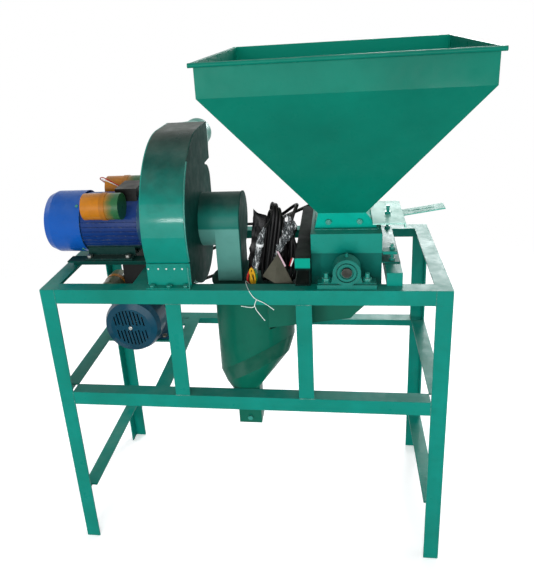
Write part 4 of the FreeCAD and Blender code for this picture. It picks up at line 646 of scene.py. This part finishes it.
# Tie string: thin white cord from the cores over the front rail. It is knotted once,
# and its two cut ends stick out in front of the rail.
STRING_RADIUS = 0.95
STRINGS = {
    "tie_string": [(30, -169, 815), (22, -174, 830), (17, -188, 843), (22, -212, 842.5),
                   (29, -234, 842.5), (34, -245, 838), (43, -245, 823), (52, -245, 815),
                   (65, -245.5, 810), (79, -246, 801), (94, -246, 788)],
    "tie_string_left": [(51, -245.5, 816), (47, -246, 807), (45, -246, 796), (36, -246, 794),
                        (24, -246, 796), (11, -246, 798)],
    "tie_string_low": [(46, -246.5, 799), (48, -247, 790), (56, -247, 778), (63, -247, 768),
                       (70, -247, 758)],
}
white_string = moulded("white_string", "e9f2ee", "c2d0ca", 0.6, 0.4)
for string_name, string_points in STRINGS.items():
    string = curve_piece(string_name, string_points, STRING_RADIUS)
    paint(string, white_string)


# Light: a large pale card in front gives most of it, and an open doorway lights the back. A
# roof light and two windows fill in, and two small lamps put a glint on the sheet metal. The
# world is white to the eye and in reflections, and dim as light.
def area_light(name, place, target, size, power, colour=(1, 1, 1)):
    """A soft square light that looks at a point; its size is in metres."""
    data = bpy.data.lights.new(name, "AREA")
    data.energy = power
    data.size = size
    data.color = colour
    made = bpy.data.objects.new(name, data)
    made.location = at(*place)
    aim = at(*target) - made.location
    made.rotation_euler = aim.to_track_quat("-Z", "Y").to_euler()
    bpy.context.collection.objects.link(made)


DAYLIGHT = (0.97, 0.99, 1)
area_light("front_card", (-300, -3600, 1200), (0, 0, 800), 2.8, 92)
area_light("roof_light", (300, 200, 3300), (0, 0, 700), 2.0, 16, DAYLIGHT)
area_light("doorway", (950, 2900, 2000), (200, 0, 900), 1.3, 62, DAYLIGHT)
area_light("lamp_left", (-950, -3200, 1230), (-170, 0, 950), 0.25, 15)
area_light("window_right", (2600, 300, 1500), (100, 0, 800), 1.6, 16)
area_light("window_left", (-2600, 500, 1400), (-100, 0, 800), 1.6, 14)
area_light("lamp_right", (900, -2600, 900), (200, 0, 900), 0.25, 8)

WHITE, DIM = (1, 1, 1, 1), (0.24, 0.25, 0.26, 1)
world = bpy.data.worlds.new("surroundings")
bpy.context.scene.world = world
world.use_nodes = True
sky = world.node_tree
back = sky.nodes["Background"]
ray = add(sky, "LightPath").outputs
direct = add(sky, "Math", {0: ray["Is Camera Ray"], 1: ray["Is Glossy Ray"]},
             operation="MAXIMUM").outputs[0]
direct = add(sky, "Math", {0: direct, 1: ray["Is Transmission Ray"]},
             operation="MAXIMUM").outputs[0]
sky.links.new(mixed(sky, direct, DIM, WHITE), back.inputs["Color"])
back.inputs["Strength"].default_value = 1

# Floor: a pale round slab half a millimetre under the feet, that throws little light back on
# the machine, keeps its shadow, and fades into the white surrounding between 1 and 2.6 m.
FLOOR_RADIUS, FLOOR_GAP = 4, 0.0005
PALE, THROWN_BACK = (0.97, 0.97, 0.97, 1), (0.3, 0.3, 0.3, 1)
floor_mesh = bpy.data.meshes.new("floor")
form = bmesh.new()
bmesh.ops.create_circle(form, cap_ends=True, segments=96, radius=FLOOR_RADIUS)
form.to_mesh(floor_mesh)
form.free()
floor = bpy.data.objects.new("floor", floor_mesh)
floor.location = (0, 0, -FLOOR_GAP)
bpy.context.collection.objects.link(floor)
floor_material, tree, shader = new_material("pale_floor")
ray = add(tree, "LightPath").outputs
tree.links.new(mixed(tree, ray["Is Diffuse Ray"], PALE, THROWN_BACK),
               shader.inputs["Base Color"])
shader.inputs["Roughness"].default_value = 0.7
shader.inputs["Emission Color"].default_value = WHITE
tree.links.new(times(tree, ray["Is Camera Ray"], 0.4), shader.inputs["Emission Strength"])
where = add(tree, "TexCoord").outputs["Object"]
away = add(tree, "VectorMath", {0: where}, operation="LENGTH").outputs["Value"]
clear = add(tree, "BsdfTransparent").outputs[0]
joined = add(tree, "MixShader", {0: ramp(tree, away, 1.0, 2.6), 1: shader.outputs[0], 2: clear})
tree.links.new(joined.outputs[0], tree.nodes["Material Output"].inputs["Surface"])
floor_mesh.materials.append(floor_material)
